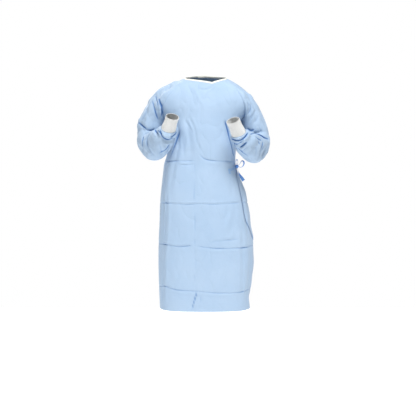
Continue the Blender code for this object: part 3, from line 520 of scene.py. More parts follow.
    "sleeve_left": """
        front form -3.5 12.0 304 -286 310 -302 306 -318
        front form 18.0 27.0 314 -348 306 -374 290 -400 270 -424
        round form 17.0 27.0 24 50 33 52 42 54 52 56
        front form 8.0 18.0 262 -140 286 -190 302 -250
        front form -5.0 12.0 216 -72 232 -84 244 -100
        front soft 3.0 5.5 201 -126 209 -154 199 -178
        front soft 3.4 5.5 221 -129 216 -164 197 -192
        front soft 3.0 5.5 244 -167 226 -192 215 -216
        front soft -2.6 5.5 235 -128 237 -153 222 -180 206 -206
        front soft 2.6 6.0 257 -182 249 -206 234 -230
        front soft -2.2 6.0 211 -124 214 -144 207 -166
        front soft 4.6 7.0 190 -170 181 -205 183 -240
        front fold 8.0 4.8 200 -250 218 -262 236 -257
        front fold 9.0 5.0 209 -280 230 -275 251 -277 268 -286 287 -295 306 -303
        front fold 7.0 4.2 234 -288 248 -301 268 -311
        front fold 6.5 4.0 254 -287 275 -303
        front soft -3.0 5.0 226 -294 242 -311 258 -322
        front fold 5.5 4.5 246 -308 259 -330
        front fold 8.5 5.5 273 -314 272 -346 262 -374
        front soft 5.0 7.0 287 -332 277 -363 265 -386
        front soft -3.0 6.0 258 -338 255 -364 246 -390
        front fold 9.5 5.4 199 -274 187 -293 166 -310 143 -313 120 -303
        front soft -4.0 6.0 195 -268 180 -284 156 -299 138 -302 122 -294
        front fold 7.5 4.8 196 -317 180 -333 160 -346
        front fold 5.0 5.0 180 -312 157 -326 137 -333
        front soft -3.2 5.0 190 -304 170 -321 148 -328
        front fold 6.0 5.4 126 -317 135 -337 149 -354
        front soft -2.8 6.0 200 -326 184 -344 166 -357
        front soft 3.4 6.5 199 -337 181 -356 163 -368
        front soft 5.0 7.0 140 -345 150 -362 161 -374 173 -384
        front soft -2.2 7.0 209 -319 212 -356 206 -389
        front soft 2.2 7.0 233 -330 241 -356 235 -389
        front soft 2.4 7.0 274 -201 284 -235 291 -264
        front soft 2.8 6.5 254 -230 263 -254 275 -276
        front soft -2.6 7.0 240 -216 246 -240 256 -264
        front soft 2.4 7.0 196 -75 210 -100 220 -124
        front soft -2.2 7.0 167 -60 185 -93 194 -117
        round soft 3.0 8.0 6 40 12 50 18 62
        round soft 3.2 8.0 34 44 36 56 34 68
        round soft -2.6 9.0 24 42 26 54 26 66
        round soft 2.8 9.0 52 46 50 58 44 68
        round soft 3.6 9.0 -82 76 -52 72 -18 74
        round soft -2.8 9.0 -78 84 -48 80 -14 80
        round fold 3.4 6.0 -66 90 -36 86 -4 88
        round soft 2.6 8.0 -60 64 -34 62 -8 66
        round soft 2.8 8.0 8 88 20 82 30 76
        round soft -2.4 9.0 6 74 20 72 34 74
        round fold 4.0 5.5 62 70 73 74 84 78
        round soft 2.8 8.0 64 92 77 88 88 90
        round fold 6.0 5.5 89 76 88 86 90 96 89 106
    """,
}

# Levels where the packing folds cross the gown, so that its rows lie closer together there
BUSY_LEVELS = (-0.408, -0.610, -0.816, -1.030)
BUSY_REACH = 0.022
BUSY_TIMES = 2.2


def dressed_camera():
    data = bpy.data.cameras.new("camera")
    data.lens = 88.2
    data.sensor_width = 36.0
    camera = bpy.data.objects.new("camera", data)
    camera.location = (0.012, -5.0, -0.37)
    aim = Vector((0.012, 0.0, -0.64)) - camera.location
    camera.rotation_euler = aim.to_track_quat("-Z", "Y").to_euler()
    bpy.context.collection.objects.link(camera)
    bpy.context.scene.camera = camera


dressed_camera()


def hermite(t, start, leave, end, arrive):
    return (
        (1 + 2 * t) * (1 - t) ** 2 * start
        + t * (1 - t) ** 2 * leave
        + t * t * (3 - 2 * t) * end
        + t * t * (t - 1) * arrive
    )


def smooth(columns, key, wanted, at):
    """A smooth curve through a table's rows, read at any number of places."""
    keys, values = columns[key], columns[wanted]
    if keys[0] > keys[-1]:
        keys, values = keys[::-1], values[::-1]
    at = np.clip(at, keys[0], keys[-1])
    i = np.clip(np.searchsorted(keys, at, side="right") - 1, 0, len(keys) - 2)
    slopes = np.diff(values) / np.diff(keys)
    ends = np.concatenate([slopes[:1], (slopes[:-1] + slopes[1:]) / 2, slopes[-1:]])
    width = keys[i + 1] - keys[i]
    t = (at - keys[i]) / width
    return hermite(t, values[i], ends[i] * width, values[i + 1], ends[i + 1] * width)


def unit(vectors):
    vectors = np.asarray(vectors, float)
    return vectors / np.linalg.norm(vectors, axis=-1, keepdims=True)


def ease(t):
    t = np.clip(t, 0.0, 1.0)
    return t * t * (3 - 2 * t)


def stacked(x, y, z):
    return np.stack(np.broadcast_arrays(x, y, z), axis=-1)


def raglan(outward, face, share):
    """Points of a raglan seam, share 0 at the neck and 1 at the armpit."""
    seam = FRONT_RAGLAN if face == "front" else BACK_RAGLAN
    out, y, z = (smooth(seam, "share", name, share) for name in ("out", "y", "z"))
    return stacked(RAGLAN_MIDDLE * share + outward * out, y, z)


def arcs_at(out, arc, square):
    """(sideways, outward) on an arc that is squared off a little, each 0 to 1."""
    angle = out * arc
    across = np.sin(angle) * (1 + square * np.cos(angle) ** 2)
    across = across / (np.sin(arc) * (1 + square * np.cos(arc) ** 2))
    bulge = np.cos(angle) * (1 + square * np.sin(angle) ** 2)
    least = np.cos(arc) * (1 + square * np.sin(arc) ** 2)
    return across, (bulge - least) / (1 - least)


def yoke_points(face, across, share):
    """The body above the armpits: share 0 is the neck edge and 1 the armpit level."""
    line = FRONT_CENTRE if face == "front" else BACK_CENTRE
    middle = stacked(*(smooth(line, "share", name, share) for name in ("x", "y", "z")))
    seam = raglan(np.where(across > 0, 1.0, -1.0), face, share)
    arc = FRONT_ARC_AT_NECK + (math.pi / 2 - FRONT_ARC_AT_NECK) * share**3
    sideways, bulge = arcs_at(np.abs(across), arc, SQUARENESS * share**3)
    rise = np.abs(across) ** (NECK_EDGE_CURVE + CURVE_GAIN * share)
    return stacked(
        middle[..., 0] + (seam[..., 0] - middle[..., 0]) * sideways,
        seam[..., 1] + (middle[..., 1] - seam[..., 1]) * bulge,
        middle[..., 2] + (seam[..., 2] - middle[..., 2]) * rise,
    )


def skirt_points(face, across, level):
    """The body below the armpits."""
    side = smooth(BODY, "level", "side", level)
    left, right = (smooth(BODY, "level", name, level) for name in ("left", "right"))
    depth = smooth(BODY, "level", face, level)
    sideways, bulge = arcs_at(np.abs(across), math.pi / 2, SQUARENESS)
    middle = RAGLAN_MIDDLE * (1 - ease((ARMPIT_LEVEL - level) / MIDDLE_SHIFT_REACH))
    width = np.where(across < 0, left, right)
    return stacked(middle + (width - middle) * sideways, side + (depth - side) * bulge, level)


def bare_body(face, across, row):
    """The body without its folds. Row 0 is the neck edge, 1 the armpits and 2 the hem."""
    across, row = np.broadcast_arrays(across, row)
    yoke = yoke_points(face, across, np.clip(row, 0.0, 1.0))
    level = ARMPIT_LEVEL + (HEM_LEVEL - ARMPIT_LEVEL) * (np.clip(row, 1.0, 2.0) - 1)
    return np.where((row < 1)[..., None], yoke, skirt_points(face, across, level))


def body_normals(face, across, row):
    low, high = np.maximum(row - NORMAL_STEP, 0.0), np.minimum(row + NORMAL_STEP, 2.0)
    right, left = np.maximum(across - NORMAL_STEP, -1.0), np.minimum(across + NORMAL_STEP, 1.0)
    along = bare_body(face, across, high) - bare_body(face, across, low)
    around = bare_body(face, left, row) - bare_body(face, right, row)
    return unit(np.cross(along, around)) * (1 if face == "front" else -1)


def body_fold(turn, level):
    """How far the broad folds push the cloth in."""
    push = np.zeros(np.shape(turn))
    for at, lean, middle, reach, width, depth in zip(*BODY_FOLDS.values()):
        away = (turn - at + 2) % 4 - 2 - lean * (level - middle)
        push += depth * np.exp(-((away / width) ** 2) - ((level - middle) / reach) ** 4)
    return push


def body_points(face, across, row, off):
    points = bare_body(face, across, row)
    still = ease((1 - np.abs(across)) / FOLD_FADE_SIDE) * ease(row / FOLD_FADE_NECK)
    turn = across if face == "back" else np.copysign(2 - np.abs(across), across)
    push = body_fold(turn, points[..., 2]) * still
    return points + body_normals(face, across, row) * (off - push)[..., None]


def round_points(turn, row, off):
    """The same for a piece that goes round from the back, past the side, to the front."""
    turn, row, off = np.broadcast_arrays(turn, row, off)
    behind = body_points("back", np.clip(turn, -1.0, 1.0), row, off)
    before = body_points("front", np.copysign(2 - np.clip(np.abs(turn), 1, 2), turn), row, off)
    return np.where((np.abs(turn) <= 1)[..., None], behind, before)


def row_of(level):
    """The body row that lies at one level below the armpits."""
    return 1 + (level - ARMPIT_LEVEL) / (HEM_LEVEL - ARMPIT_LEVEL)


def row_places():
    """The rows of every body piece, closer together where the packing folds are."""
    levels = np.linspace(ARMPIT_LEVEL, HEM_LEVEL, 2000)
    close = np.ones(levels.shape)
    for busy in BUSY_LEVELS:
        close += (BUSY_TIMES - 1) * np.exp(-(((levels - busy) / BUSY_REACH) ** 2))
    count = np.concatenate([[0], np.cumsum((close[1:] + close[:-1]) / 2)])
    wanted = np.linspace(0, count[-1], SKIRT_ROWS + 1)
    skirt = row_of(np.interp(wanted, count, levels))
    return np.concatenate([np.arange(YOKE_ROWS) / YOKE_ROWS, skirt])


ROWS = row_places()


def wrap_edge(row):
    """(turn, stand-off) of the wrap-over's free edge on each row."""
    below = ARMPIT_LEVEL + (HEM_LEVEL - ARMPIT_LEVEL) * (row - 1)
    level = np.where(row < 1, ARMPIT_LEVEL * row, below)
    return [smooth(WRAP_EDGE, "level", name, level) for name in ("turn", "off")]


def wrap_points(share, row):
    """The wrap-over back, from the right side seam round to its free edge."""
    turn_end, off_end = wrap_edge(row)
    turn = -1 + (turn_end + 1) * share
    lap = ease((turn - LAP_FROM_TURN) / LAP_RUN) * LAP_GAP
    off = lap + (off_end * EDGE_PRESS - LAP_GAP) * ease((share - 0.6) / 0.4)
    return round_points(turn, row, off)


def under_points(share, row):
    """The under back, from the left side seam to its hidden edge."""
    return round_points(1 + (UNDER_EDGE_TURN - 1) * share, row, 0.0)


def front_points(share, row):
    return body_points("front", 2 * share - 1, row, 0.0)


def panel_grid(points, columns):
    share, row = np.meshgrid(np.linspace(0, 1, columns + 1), ROWS)
    return points(share, row)


def loop_points(side):
    """The sleeve's top edge: up the front raglan seam, round the neck, down the back one."""
    out = OUTWARD[side]
    share = ROWS[: YOKE_ROWS + 1]
    front = raglan(out, "front", share)[::-1]
    back = raglan(out, "back", share)
    start, end = front[-1], back[0]
    t = np.linspace(0, 1, NECK_ARC_STEPS + 1)[1:-1, None]
    arc = start + (end - start) * t
    bulge = (1 - (2 * t - 1) ** 2)[:, 0]
    arc[:, 0] += (out * NECK_SIDE_OUT - (start[0] + end[0]) / 2) * bulge
    arc[:, 2] += (NECK_SIDE_LEVEL - (start[2] + end[2]) / 2) * bulge
    return np.concatenate([front, arc, back[:-1]])


def spun(vector, axis, angle):
    """A vector turned about an axis, by each angle."""
    angle = np.asarray(angle, float)[..., None]
    along = axis * np.dot(axis, vector)
    return along + (vector - along) * np.cos(angle) + np.cross(axis, vector) * np.sin(angle)


def arm_frame(side, share):
    """(centre, down-the-arm, inner side, front) of the sleeve at each share of the arm."""
    out = OUTWARD[side]
    share = np.atleast_1d(share)
    pivot = np.array(ELBOW_PIVOT[side])
    down = unit((out * UPPER_ARM_LEAN[side], -0.06, -1.0))
    forearm = unit((out * FOREARM_START[0], FOREARM_START[1], FOREARM_START[2]))
    axis = unit(np.cross(down, forearm))
    bend = math.acos(float(np.dot(down, forearm)))
    inner = unit(np.array([-out, 0, 0]) + out * down[0] * down)
    front = np.cross(inner, down) * out
    to_centre = unit(np.cross(down, axis))
    radius = smooth(SLEEVE, "share", "deep", 0.35) + 0.010
    start, end = BEND_SHARE
    first = pivot + to_centre * radius
    rising = first - down * UPPER_ARM_RUN * (1 - share / start)[:, None]
    angle = bend * np.clip((share - start) / (end - start), 0, 1)
    bent = pivot + spun(to_centre, axis, angle) * radius
    t = np.clip((share - end) / (1 - end), 0, 1)[:, None]
    after = pivot + spun(to_centre, axis, bend) * radius
    wrist, cuff = np.array(WRIST[side]), np.array(CUFF_END[side])
    reach = np.linalg.norm(wrist - after)
    cuff_way = unit(cuff - wrist)
    beyond = hermite(t, after, forearm * reach, wrist, cuff_way * reach)
    going = unit(forearm * (1 - ease(t)) + cuff_way * ease(t))
    far_inner, far_front = spun(inner, axis, bend), spun(front, axis, bend)
    far_inner = unit(far_inner - going * (going @ far_inner)[:, None])
    far_front = far_front - going * (going @ far_front)[:, None]
    far_front = unit(far_front - far_inner * (far_inner * far_front).sum(1, keepdims=True))
    early, late = (share <= start)[:, None], (share > end)[:, None]
    centre = np.where(early, rising, np.where(late, beyond, bent))
    ways = [np.where(late, going, spun(down, axis, angle))]
    ways.append(np.where(late, far_inner, spun(inner, axis, angle)))
    ways.append(np.where(late, far_front, spun(front, axis, angle)))
    return centre, *ways


def fold_push(folds, share, turn):
    push = 0.0
    for at, where, lean, along, around, depth in zip(*folds.values()):
        down = (share - at) / along
        away = ((turn - where + 0.5) % 1 - 0.5 - lean * (share - at)) / around
        push = push + depth * np.exp(-down * down - away * away)
    return push


def arm_points(side, share, turn):
    """Rings of the sleeve. Turn 0 is its inner side, 0.25 its front, 0.5 its outer side."""
    centre, _, inner, front = (part[:, None] for part in arm_frame(side, share))
    share, turn = share[:, None], turn[None]
    across = smooth(SLEEVE, "share", "across", share)
    deep = smooth(SLEEVE, "share", "deep", share)
    size = 1 - fold_push(SLEEVE_FOLDS, share, turn) / deep
    wide = (across * np.cos(2 * math.pi * turn) * size)[..., None]
    thick = (deep * np.sin(2 * math.pi * turn) * size)[..., None]
    return centre + inner * wide + front * thick


def shoulder_points(side, start, share, turn):
    """The sleeve between its top edge and the upper arm, as one smooth curve for each turn."""
    end = arm_points(side, np.array([0.0]), turn)[0]
    _, down, inner, front = (part[0] for part in arm_frame(side, 0.0))
    height = ease(np.minimum((1 - np.abs(2 * turn - 1)) / 0.62, 1.0))
    slope = ARMPIT_SLOPE + (SHOULDER_SLOPE - ARMPIT_SLOPE) * height
    gap = np.linalg.norm(end - start, axis=1, keepdims=True) * (0.8 + 0.3 * height)[:, None]
    sideways = -0.22 * np.sin(2 * math.pi * turn)
    leave = unit(stacked(OUTWARD[side] * np.cos(slope), sideways, -np.sin(slope))) * gap
    points = hermite(share[:, None, None], start, leave, end, down * gap)
    angle = 2 * math.pi * turn[:, None]
    inward = inner * np.cos(angle) + front * np.sin(angle)
    still = ease(share / 0.35) * ease((1 - share) / 0.2)
    push = fold_push(SHOULDER_FOLDS, share[:, None], turn) * still[:, None]
    return points - inward * push[..., None]


def sleeve_turns():
    """Where each point of the top edge lies round the arm: seams 8 parts each, neck arc 6."""
    seam = np.arange(YOKE_ROWS) / YOKE_ROWS * 8
    arc = 8 + np.arange(NECK_ARC_STEPS) / NECK_ARC_STEPS * 6
    return np.concatenate([seam, arc, seam + 14]) / 22


def sleeve_grid(side):
    """Rings of points from the sleeve's top edge to the cuff seam."""
    turn = sleeve_turns()
    upper_share = np.linspace(0, 1, SHOULDER_RINGS + 1)[:-1]
    upper = shoulder_points(side, loop_points(side), upper_share, turn)
    arm = arm_points(side, np.linspace(0, 1, ARM_RINGS + 1), turn)
    return np.concatenate([upper, arm])


def cuff_grid(side):
    """Rings of points of the rib-knit cuff, from the seam to its open end."""
    wrist, end = np.array(WRIST[side]), np.array(CUFF_END[side])
    _, _, inner, front = (part[0] for part in arm_frame(side, 1.0))
    share = np.linspace(0, 1, CUFF_RINGS)[:, None]
    turn = np.arange(CUFF_RIBS * RIB_STEPS)[None] / (CUFF_RIBS * RIB_STEPS)
    angle = 2 * math.pi * turn
    rib = RIB_HEIGHT * (np.cos(CUFF_RIBS * angle) - 1) / 2
    slack = CUFF_SLACK * np.sin(2.6 * math.pi * share + 2 * np.sin(angle + 0.7)) * ease(share / 0.15)
    across = smooth(CUFF, "share", "across", share) + rib + slack
    deep = smooth(CUFF, "share", "deep", share) + rib + slack
    wide, thick = across * np.cos(angle), deep * np.sin(angle)
    return wrist + (end - wrist) * share[..., None] + inner * wide[..., None] + front * thick[..., None]


def outward(grid, closed, flip):
    """The outward normal at each point of a grid."""
    down = np.gradient(grid, axis=0)
    if closed:
        around = np.roll(grid, -1, axis=1) - np.roll(grid, 1, axis=1)
    else:
        around = np.gradient(grid, axis=1)
    normals = unit(np.cross(down, around))
    return -normals if flip else normals


def share_seams(cloths):
    """Gives the points that two pieces share along a seam one normal between them."""
    found = {}
    for name, cloth in cloths.items():
        rows, columns = cloth["grid"].shape[:2]
        edge = {(r, c) for r in (0, rows - 1) for c in range(columns)}
        if not cloth["closed"]:
            edge |= {(r, c) for r in range(rows) for c in (0, columns - 1)}
        for r, c in edge:
            key = tuple(np.round(cloth["grid"][r, c] / 1e-5).astype(int))
            found.setdefault(key, []).append((name, r, c))
    for places in found.values():
        total = sum(cloths[n]["normals"][r, c] for n, r, c in places)
        for n, r, c in places:
            cloths[n]["normals"][r, c] = total / np.linalg.norm(total)


def lengths(grid, axis):
    """How far along the cloth each point lies, in metres."""
    step = np.linalg.norm(np.diff(grid, axis=axis), axis=-1)
    start = np.zeros_like(np.take(step, [0], axis=axis))
    return np.concatenate([start, np.cumsum(step, axis=axis)], axis=axis)


def quads(rows, columns, closed):
    last = columns if closed else columns - 1
    r, c = np.meshgrid(np.arange(rows - 1), np.arange(last), indexing="ij")
    r, c = r.ravel(), c.ravel()
    corners = [(r, c), (r + 1, c), (r + 1, c + 1), (r, c + 1)]
    return corners, np.stack([a * columns + b % columns for a, b in corners], axis=1)


def laid_out(name, grid, closed=False, flip=False, thick=CLOTH, offset=-1.0, crease_shade=None):
    """A grid of points as a thin shell of cloth, with the cloth's own measure as its UV map."""
    rows, columns = grid.shape[:2]
    corners, faces = quads(rows, columns, closed)
    whole = np.concatenate([grid, grid[:, :1]], axis=1) if closed else grid
    around, down = lengths(whole, 1), lengths(whole, 0)
    order = [3, 2, 1, 0] if flip else [0, 1, 2, 3]
    corners, faces = [corners[i] for i in order], faces[:, order]
    mesh = bpy.data.meshes.new(name)
    mesh.from_pydata(grid.reshape(-1, 3).tolist(), [], faces.tolist())
    marks = np.stack([np.stack([around[r, c], down[r, c]], -1) for r, c in corners], axis=1)
    mesh.uv_layers.new(name="cloth").uv.foreach_set("vector", marks.ravel().astype(np.float32))
    # Painted shade: a per-point value, kept on the mesh, that darkens the cloth's colour along its creases.
    if crease_shade is not None:
        mesh.attributes.new("crease_shade", "FLOAT", "POINT").data.foreach_set("value", crease_shade.ravel().astype(np.float32))
    piece = bpy.data.objects.new(name, mesh)
    bpy.context.collection.objects.link(piece)
    shell = piece.modifiers.new("shell", "SOLIDIFY")
    shell.thickness = thick
    shell.offset = offset
    worked(piece, "shell")
    return piece


def worked(piece, *modifiers):
    """Applies a piece's modifiers and smooths its shading."""
    bpy.ops.object.select_all(action="DESELECT")
    bpy.context.view_layer.objects.active = piece
    piece.select_set(True)
    for modifier in modifiers:
        bpy.ops.object.modifier_apply(modifier=modifier)
    bpy.ops.object.shade_smooth_by_angle(angle=SMOOTH_ANGLE)
    piece.select_set(False)


def tube_of(name, rings):
    """A closed body through rings of points, with its length and girth as its UV map."""
    count, around = rings.shape[:2]
    corners, faces = quads(count, around, True)
    whole = np.concatenate([rings, rings[:, :1]], axis=1)
    girth, run = lengths(whole, 1), lengths(whole, 0)
    marks = np.stack([np.stack([run[r, c], girth[r, c]], -1) for r, c in corners], axis=1)
    ends = [list(range(around))[::-1], list(range((count - 1) * around, count * around))]
    mesh = bpy.data.meshes.new(name)
    mesh.from_pydata(rings.reshape(-1, 3).tolist(), [], faces.tolist() + ends)
    flat = np.concatenate([marks.ravel(), np.zeros(4 * around)]).astype(np.float32)
    mesh.uv_layers.new(name="cloth").uv.foreach_set("vector", flat)
    work = bmesh.new()
    work.from_mesh(mesh)
    bmesh.ops.recalc_face_normals(work, faces=work.faces[:])
    work.to_mesh(mesh)
    work.free()
    piece = bpy.data.objects.new(name, mesh)
    bpy.context.collection.objects.link(piece)
    worked(piece)
    return piece


# The pieces of the gown as grids of points
CLOTHS = {
    "front": {"grid": panel_grid(front_points, FRONT_COLUMNS), "closed": False, "flip": False},
    "back_wrap": {"grid": panel_grid(wrap_points, WRAP_COLUMNS), "closed": False, "flip": True},
    "back_under": {"grid": panel_grid(under_points, UNDER_COLUMNS), "closed": False, "flip": False},
}
for SIDE in SIDES:
    CLOTHS["sleeve_" + SIDE] = {"grid": sleeve_grid(SIDE), "closed": True, "flip": SIDE == "right"}
for CLOTH_PIECE in CLOTHS.values():
    CLOTH_PIECE["normals"] = outward(CLOTH_PIECE["grid"], CLOTH_PIECE["closed"], CLOTH_PIECE["flip"])
share_seams(CLOTHS)


def curve_through(places, steps=28):
    """Even places along a smooth curve through a few given ones, and how far along each is."""
    places = np.asarray(places, float)
    keyed = {str(i): places[:, i] for i in range(places.shape[1])}
    keyed["step"] = np.arange(len(places), dtype=float)
    at = np.linspace(0, len(places) - 1, steps)
    return np.stack([smooth(keyed, "step", str(i), at) for i in range(places.shape[1])], axis=1)


# Painted shade in the creases: the depth at which the shade painted into the cloth's colour is darkest,
# how much each kind of crease counts towards it, on a panel and on a sleeve, and how far across a crease it reaches
FULL_SHADE_DEPTH = 0.0075
CREASE_SHADE_SHARE = {"fold": (0.8, 1.7), "soft": (0.2, 0.8), "form": (0.0, 0.0)}
CREASE_SHADE_REACH = 0.65

# Painted shade along the wrap-over's free edge, where it stands off the front: how far in from the edge it reaches,
# and how dark it is
EDGE_SHADE_WIDTH = 0.005
EDGE_SHADE = 0.5

# How a crease's places are found: points looked at, and how deep one layer of cloth may lie
NEAR_POINTS = 26
FRONT_LAYER = 0.022
VIEWS = {"front": (0, 2, 1, -1), "back": (0, 2, 1, 1), "right": (1, 2, 0, -1), "left": (1, 2, 0, 1)}


def seen_on(cloth, view, places):
    """The nearest points of a piece behind places given as (sideways, up) in one view."""
    across, up, deep, sign = VIEWS[view]
    facing = cloth["normals"][..., deep] * sign > FACING
    points = cloth["grid"][facing]
    found = []
    for place in curve_through(places):
        apart = (points[:, across] - place[0]) ** 2 + (points[:, up] - place[1]) ** 2
        near = np.argpartition(apart, NEAR_POINTS)[:NEAR_POINTS]
        near = near[np.argsort(apart[near])]
        height = points[near, deep] * sign
        near = near[height > height.max() - FRONT_LAYER][:BLENDED_POINTS]
        weight = 1 / (apart[near] + 1e-7)
        found.append((points[near] * weight[:, None]).sum(0) / weight.sum())
    return np.array(found)


def round_sleeve(cloth, places):
    """The points of a sleeve at places given as (share, turn): -1 to 0 its shoulder, 0 to 1 its arm."""
    grid, turns = cloth["grid"], sleeve_turns()
    found = []
    for share, turn in curve_through(places):
        row = (share + 1) * SHOULDER_RINGS if share < 0 else SHOULDER_RINGS + share * ARM_RINGS
        column = np.interp(turn % 1, np.append(turns, 1.0), np.arange(len(turns) + 1))
        r, c = min(int(row), len(grid) - 2), int(column) % len(turns)
        down, along, after = row - r, column - int(column), (c + 1) % len(turns)
        top = grid[r, c] * (1 - along) + grid[r, after] * along
        bottom = grid[r + 1, c] * (1 - along) + grid[r + 1, after] * along
        found.append(top * (1 - down) + bottom * down)
    return np.array(found)


def crease(points, run, kind, depth, width):
    """How far one crease moves each point out, a ridge where depth is negative, and the shade it paints into the
    cloth's colour.
    """
    reach = width * 4.5
    near = np.all((points > run.min(0) - reach) & (points < run.max(0) + reach), axis=1)
    moved, shade = np.zeros(len(points)), np.zeros(len(points))
    spots = points[near]
    if not len(spots):
        return moved, shade
    along = lengths(run, 0)
    best, place = np.full(len(spots), 1e9), np.zeros(len(spots))
    for i, (start, end) in enumerate(zip(run[:-1], run[1:])):
        way = end - start
        share = np.clip((spots - start) @ way / (way @ way), 0, 1)
        apart = spots - start - share[:, None] * way
        distance = np.linalg.norm(apart, axis=1)
        closer = distance < best
        best = np.where(closer, distance, best)
        place = np.where(closer, along[i] + share * (along[i + 1] - along[i]), place)
    total = along[-1]
    fade = min(0.035, total * 0.4)
    strength = ease((place + 0.2 * fade) / fade) * ease((total - place + 0.2 * fade) / fade)
    strength *= 1 + 0.22 * np.sin(place / 0.019 + 40 * depth / width) * ease(total / 0.08)
    off = best / width
    if kind == "fold":
        shape = 0.62 * np.exp(-1.6 * off) + 0.38 * np.exp(-0.5 * off)
    else:
        shape = np.exp(-off * off)
    moved[near] = -depth * strength * shape
    shade[near] = depth * strength * np.exp(-((off / CREASE_SHADE_REACH) ** 2))
    return moved, shade


def crease_rows(name):
    """Each crease of a piece: its view, kind, depth and width in millimetres, and its places."""
    for line in CREASES[name].strip().split("\n"):
        view, kind, depth, width, *numbers = line.split()
        parts = HUNDREDTHS if view == "round" else MILLIMETRES
        places = np.array([int(number) / parts for number in numbers]).reshape(-1, 2)
        yield view, kind, float(depth), float(width), places


def creased(name, cloth):
    """Moves a piece's points by its creases, by the soft seams at its edges and by the gathers at a sleeve's cuff,
    and works out the shade painted into its colour along its creases and the wrap-over's free edge.
    """
    points = cloth["grid"].reshape(-1, 3)
    moved, sharp = np.zeros(len(points)), np.zeros(len(points))
    for view, kind, depth, width, places in crease_rows(name):
        run = round_sleeve(cloth, places) if view == "round" else seen_on(cloth, view, places)
        push, shade = crease(points, run, kind, depth / 1000, width / 1000)
        moved += push
        # Painted shade: the depth of each fold and soft crease, weighted by its kind, darkens the cloth's colour
        # along it.
        sharp += shade * CREASE_SHADE_SHARE[kind][cloth["closed"]]
    moved = moved.reshape(cloth["grid"].shape[:2])
    cloth["crease_shade"] = ease(sharp.reshape(moved.shape) / FULL_SHADE_DEPTH)
    # Painted shade along the wrap-over's free edge, where the gap beside it lies in shade.
    if name == "back_wrap":
        to_edge = lengths(cloth["grid"], 1)
        to_edge = to_edge[:, -1:] - to_edge
        cloth["crease_shade"] = np.maximum(cloth["crease_shade"], EDGE_SHADE * np.exp(-((to_edge / EDGE_SHADE_WIDTH) ** 4)))
    down, around = lengths(cloth["grid"], 0), lengths(cloth["grid"], 1)
    if cloth["closed"]:
        inset = down
        cuff = down[-1:] - down
        moved += gathers(cloth) * np.exp(-((cuff - GATHER_FROM) / GATHER_RUN) ** 2)
        moved *= ease(cuff / 0.012)
    else:
        inset = np.minimum(around, around[:, -1:] - around)
    moved += SEAM_PILLOW * (1 - np.exp(-((inset / SEAM_WIDTH) ** 2)))
    moved *= ease(inset / SEAM_FADE) * ease(down / SEAM_FADE)
    return cloth["grid"] + cloth["normals"] * moved[..., None]


def gathers(cloth):
    """Small pleats where a sleeve is drawn in to its cuff, round the sleeve."""
    turns = sleeve_turns()[None]
    total = np.zeros(turns.shape)
    for place, width, height in zip(*GATHERS.values()):
        away = ((turns - place + 0.5) % 1 - 0.5) / width
        total += height * np.exp(-away * away)
    return total - total.mean()


for NAME, CLOTH_PIECE in CLOTHS.items():
    CLOTH_PIECE["shaped"] = creased(NAME, CLOTH_PIECE)


def neck_run():
    """(points, normals) of the whole neck edge, from the wrap-over's end to the under back's."""
    first, last = YOKE_ROWS, YOKE_ROWS + NECK_ARC_STEPS
    runs = []
    for name, place in (
        ("back_wrap", slice(None, None, -1)),
        ("sleeve_right", slice(last, first - 1, -1)),
        ("front", slice(None)),
        ("sleeve_left", slice(first, last + 1)),
        ("back_under", slice(None)),
    ):
        cloth = CLOTHS[name]
        runs.append((cloth["grid"][0][place], cloth["normals"][0][place]))
    points = np.concatenate([runs[0][0]] + [p[1:] for p, _ in runs[1:]])
    normals = np.concatenate([runs[0][1]] + [n[1:] for _, n in runs[1:]])
    return points, normals


def neck_binding():
    """The neck's folded tape: a rounded band that stands on the neck edge all the way round."""
    edge, normals = neck_run()
    along = unit(np.gradient(edge, axis=0))
    past_edge = np.cross(normals, along)
    past_edge *= np.sign(past_edge[:, 2:3])
    up = past_edge + np.array([0, 0, BINDING_UPRIGHT])
    up = unit(up - along * (up * along).sum(1, keepdims=True))
    out = np.cross(up, along)
    out *= np.sign((out * normals).sum(1, keepdims=True))
    half = BINDING_THICK / 2
    clear = half * np.abs((out * past_edge).sum(1, keepdims=True))
    foot = edge - normals * CLOTH / 2 + past_edge * clear
    rings = np.array([foot + out * a * half + up * b * BINDING_HEIGHT for a, b in TAPE_SECTION])
    return tube_of("neck_tape_run", rings.transpose(1, 0, 2))


def between(grid, row, column):
    """A grid's value between its points."""
    r, c = min(int(row), len(grid) - 2), min(int(column), grid.shape[1] - 2)
    down, along = row - r, column - c
    top = grid[r, c] * (1 - along) + grid[r, c + 1] * along
    bottom = grid[r + 1, c] * (1 - along) + grid[r + 1, c + 1] * along
    return top * (1 - down) + bottom * down


def on_panel(name, turn, level, off):
    """(point, normal) on a panel's outer face, moved out by off."""
    grid, normals = CLOTHS[name]["shaped"], CLOTHS[name]["normals"]
    row = float(np.interp(row_of(level), ROWS, range(len(ROWS))))
    if name == "front":
        share = (3 - turn) / 2
    else:
        share = (turn + 1) / (wrap_edge(row_of(level))[0] + 1)
    column = share * (grid.shape[1] - 1)
    normal = unit(between(normals, row, column))
    return between(grid, row, column) + normal * off, normal


def laid_strip(name, place, rows, columns):
    """A strip's outer points, made from the panel's points and moved out."""
    grid = []
    for down in np.linspace(-0.5, 0.5, rows):
        line = []
        for share in np.linspace(0, 1, columns):
            turn = place["turn"][0] + (place["turn"][1] - place["turn"][0]) * share
            level = place["level"][0] + (place["level"][1] - place["level"][0]) * share
            level -= place["height"] * down
            ripple = TIE_RIPPLE * math.sin(9 * share + 4 * down) * math.sin(math.pi * share)
            line.append(on_panel(name, turn, level, TIE_LIFT + abs(ripple))[0])
        grid.append(line)
    return np.array(grid)


def knot_place():
    """(centre, its three axes) of the knot, which sits on the tie from the front."""
    centre, normal = on_panel("front", KNOT["turn"], KNOT["level"], KNOT_OFF)
    sideways = unit(np.cross(normal, (0, 0, 1)))
    return centre, (sideways, normal, np.cross(sideways, normal))


def knot_surface(toward):
    """The point just inside the knot's surface on the way to another point."""
    centre, axes = knot_place()
    way = unit(np.array(toward) - centre)
    reach = 1 / math.sqrt(sum((np.dot(way, a) / h) ** 2 for a, h in zip(axes, KNOT["half"])))
    return centre + way * (reach - KNOT_BITE)


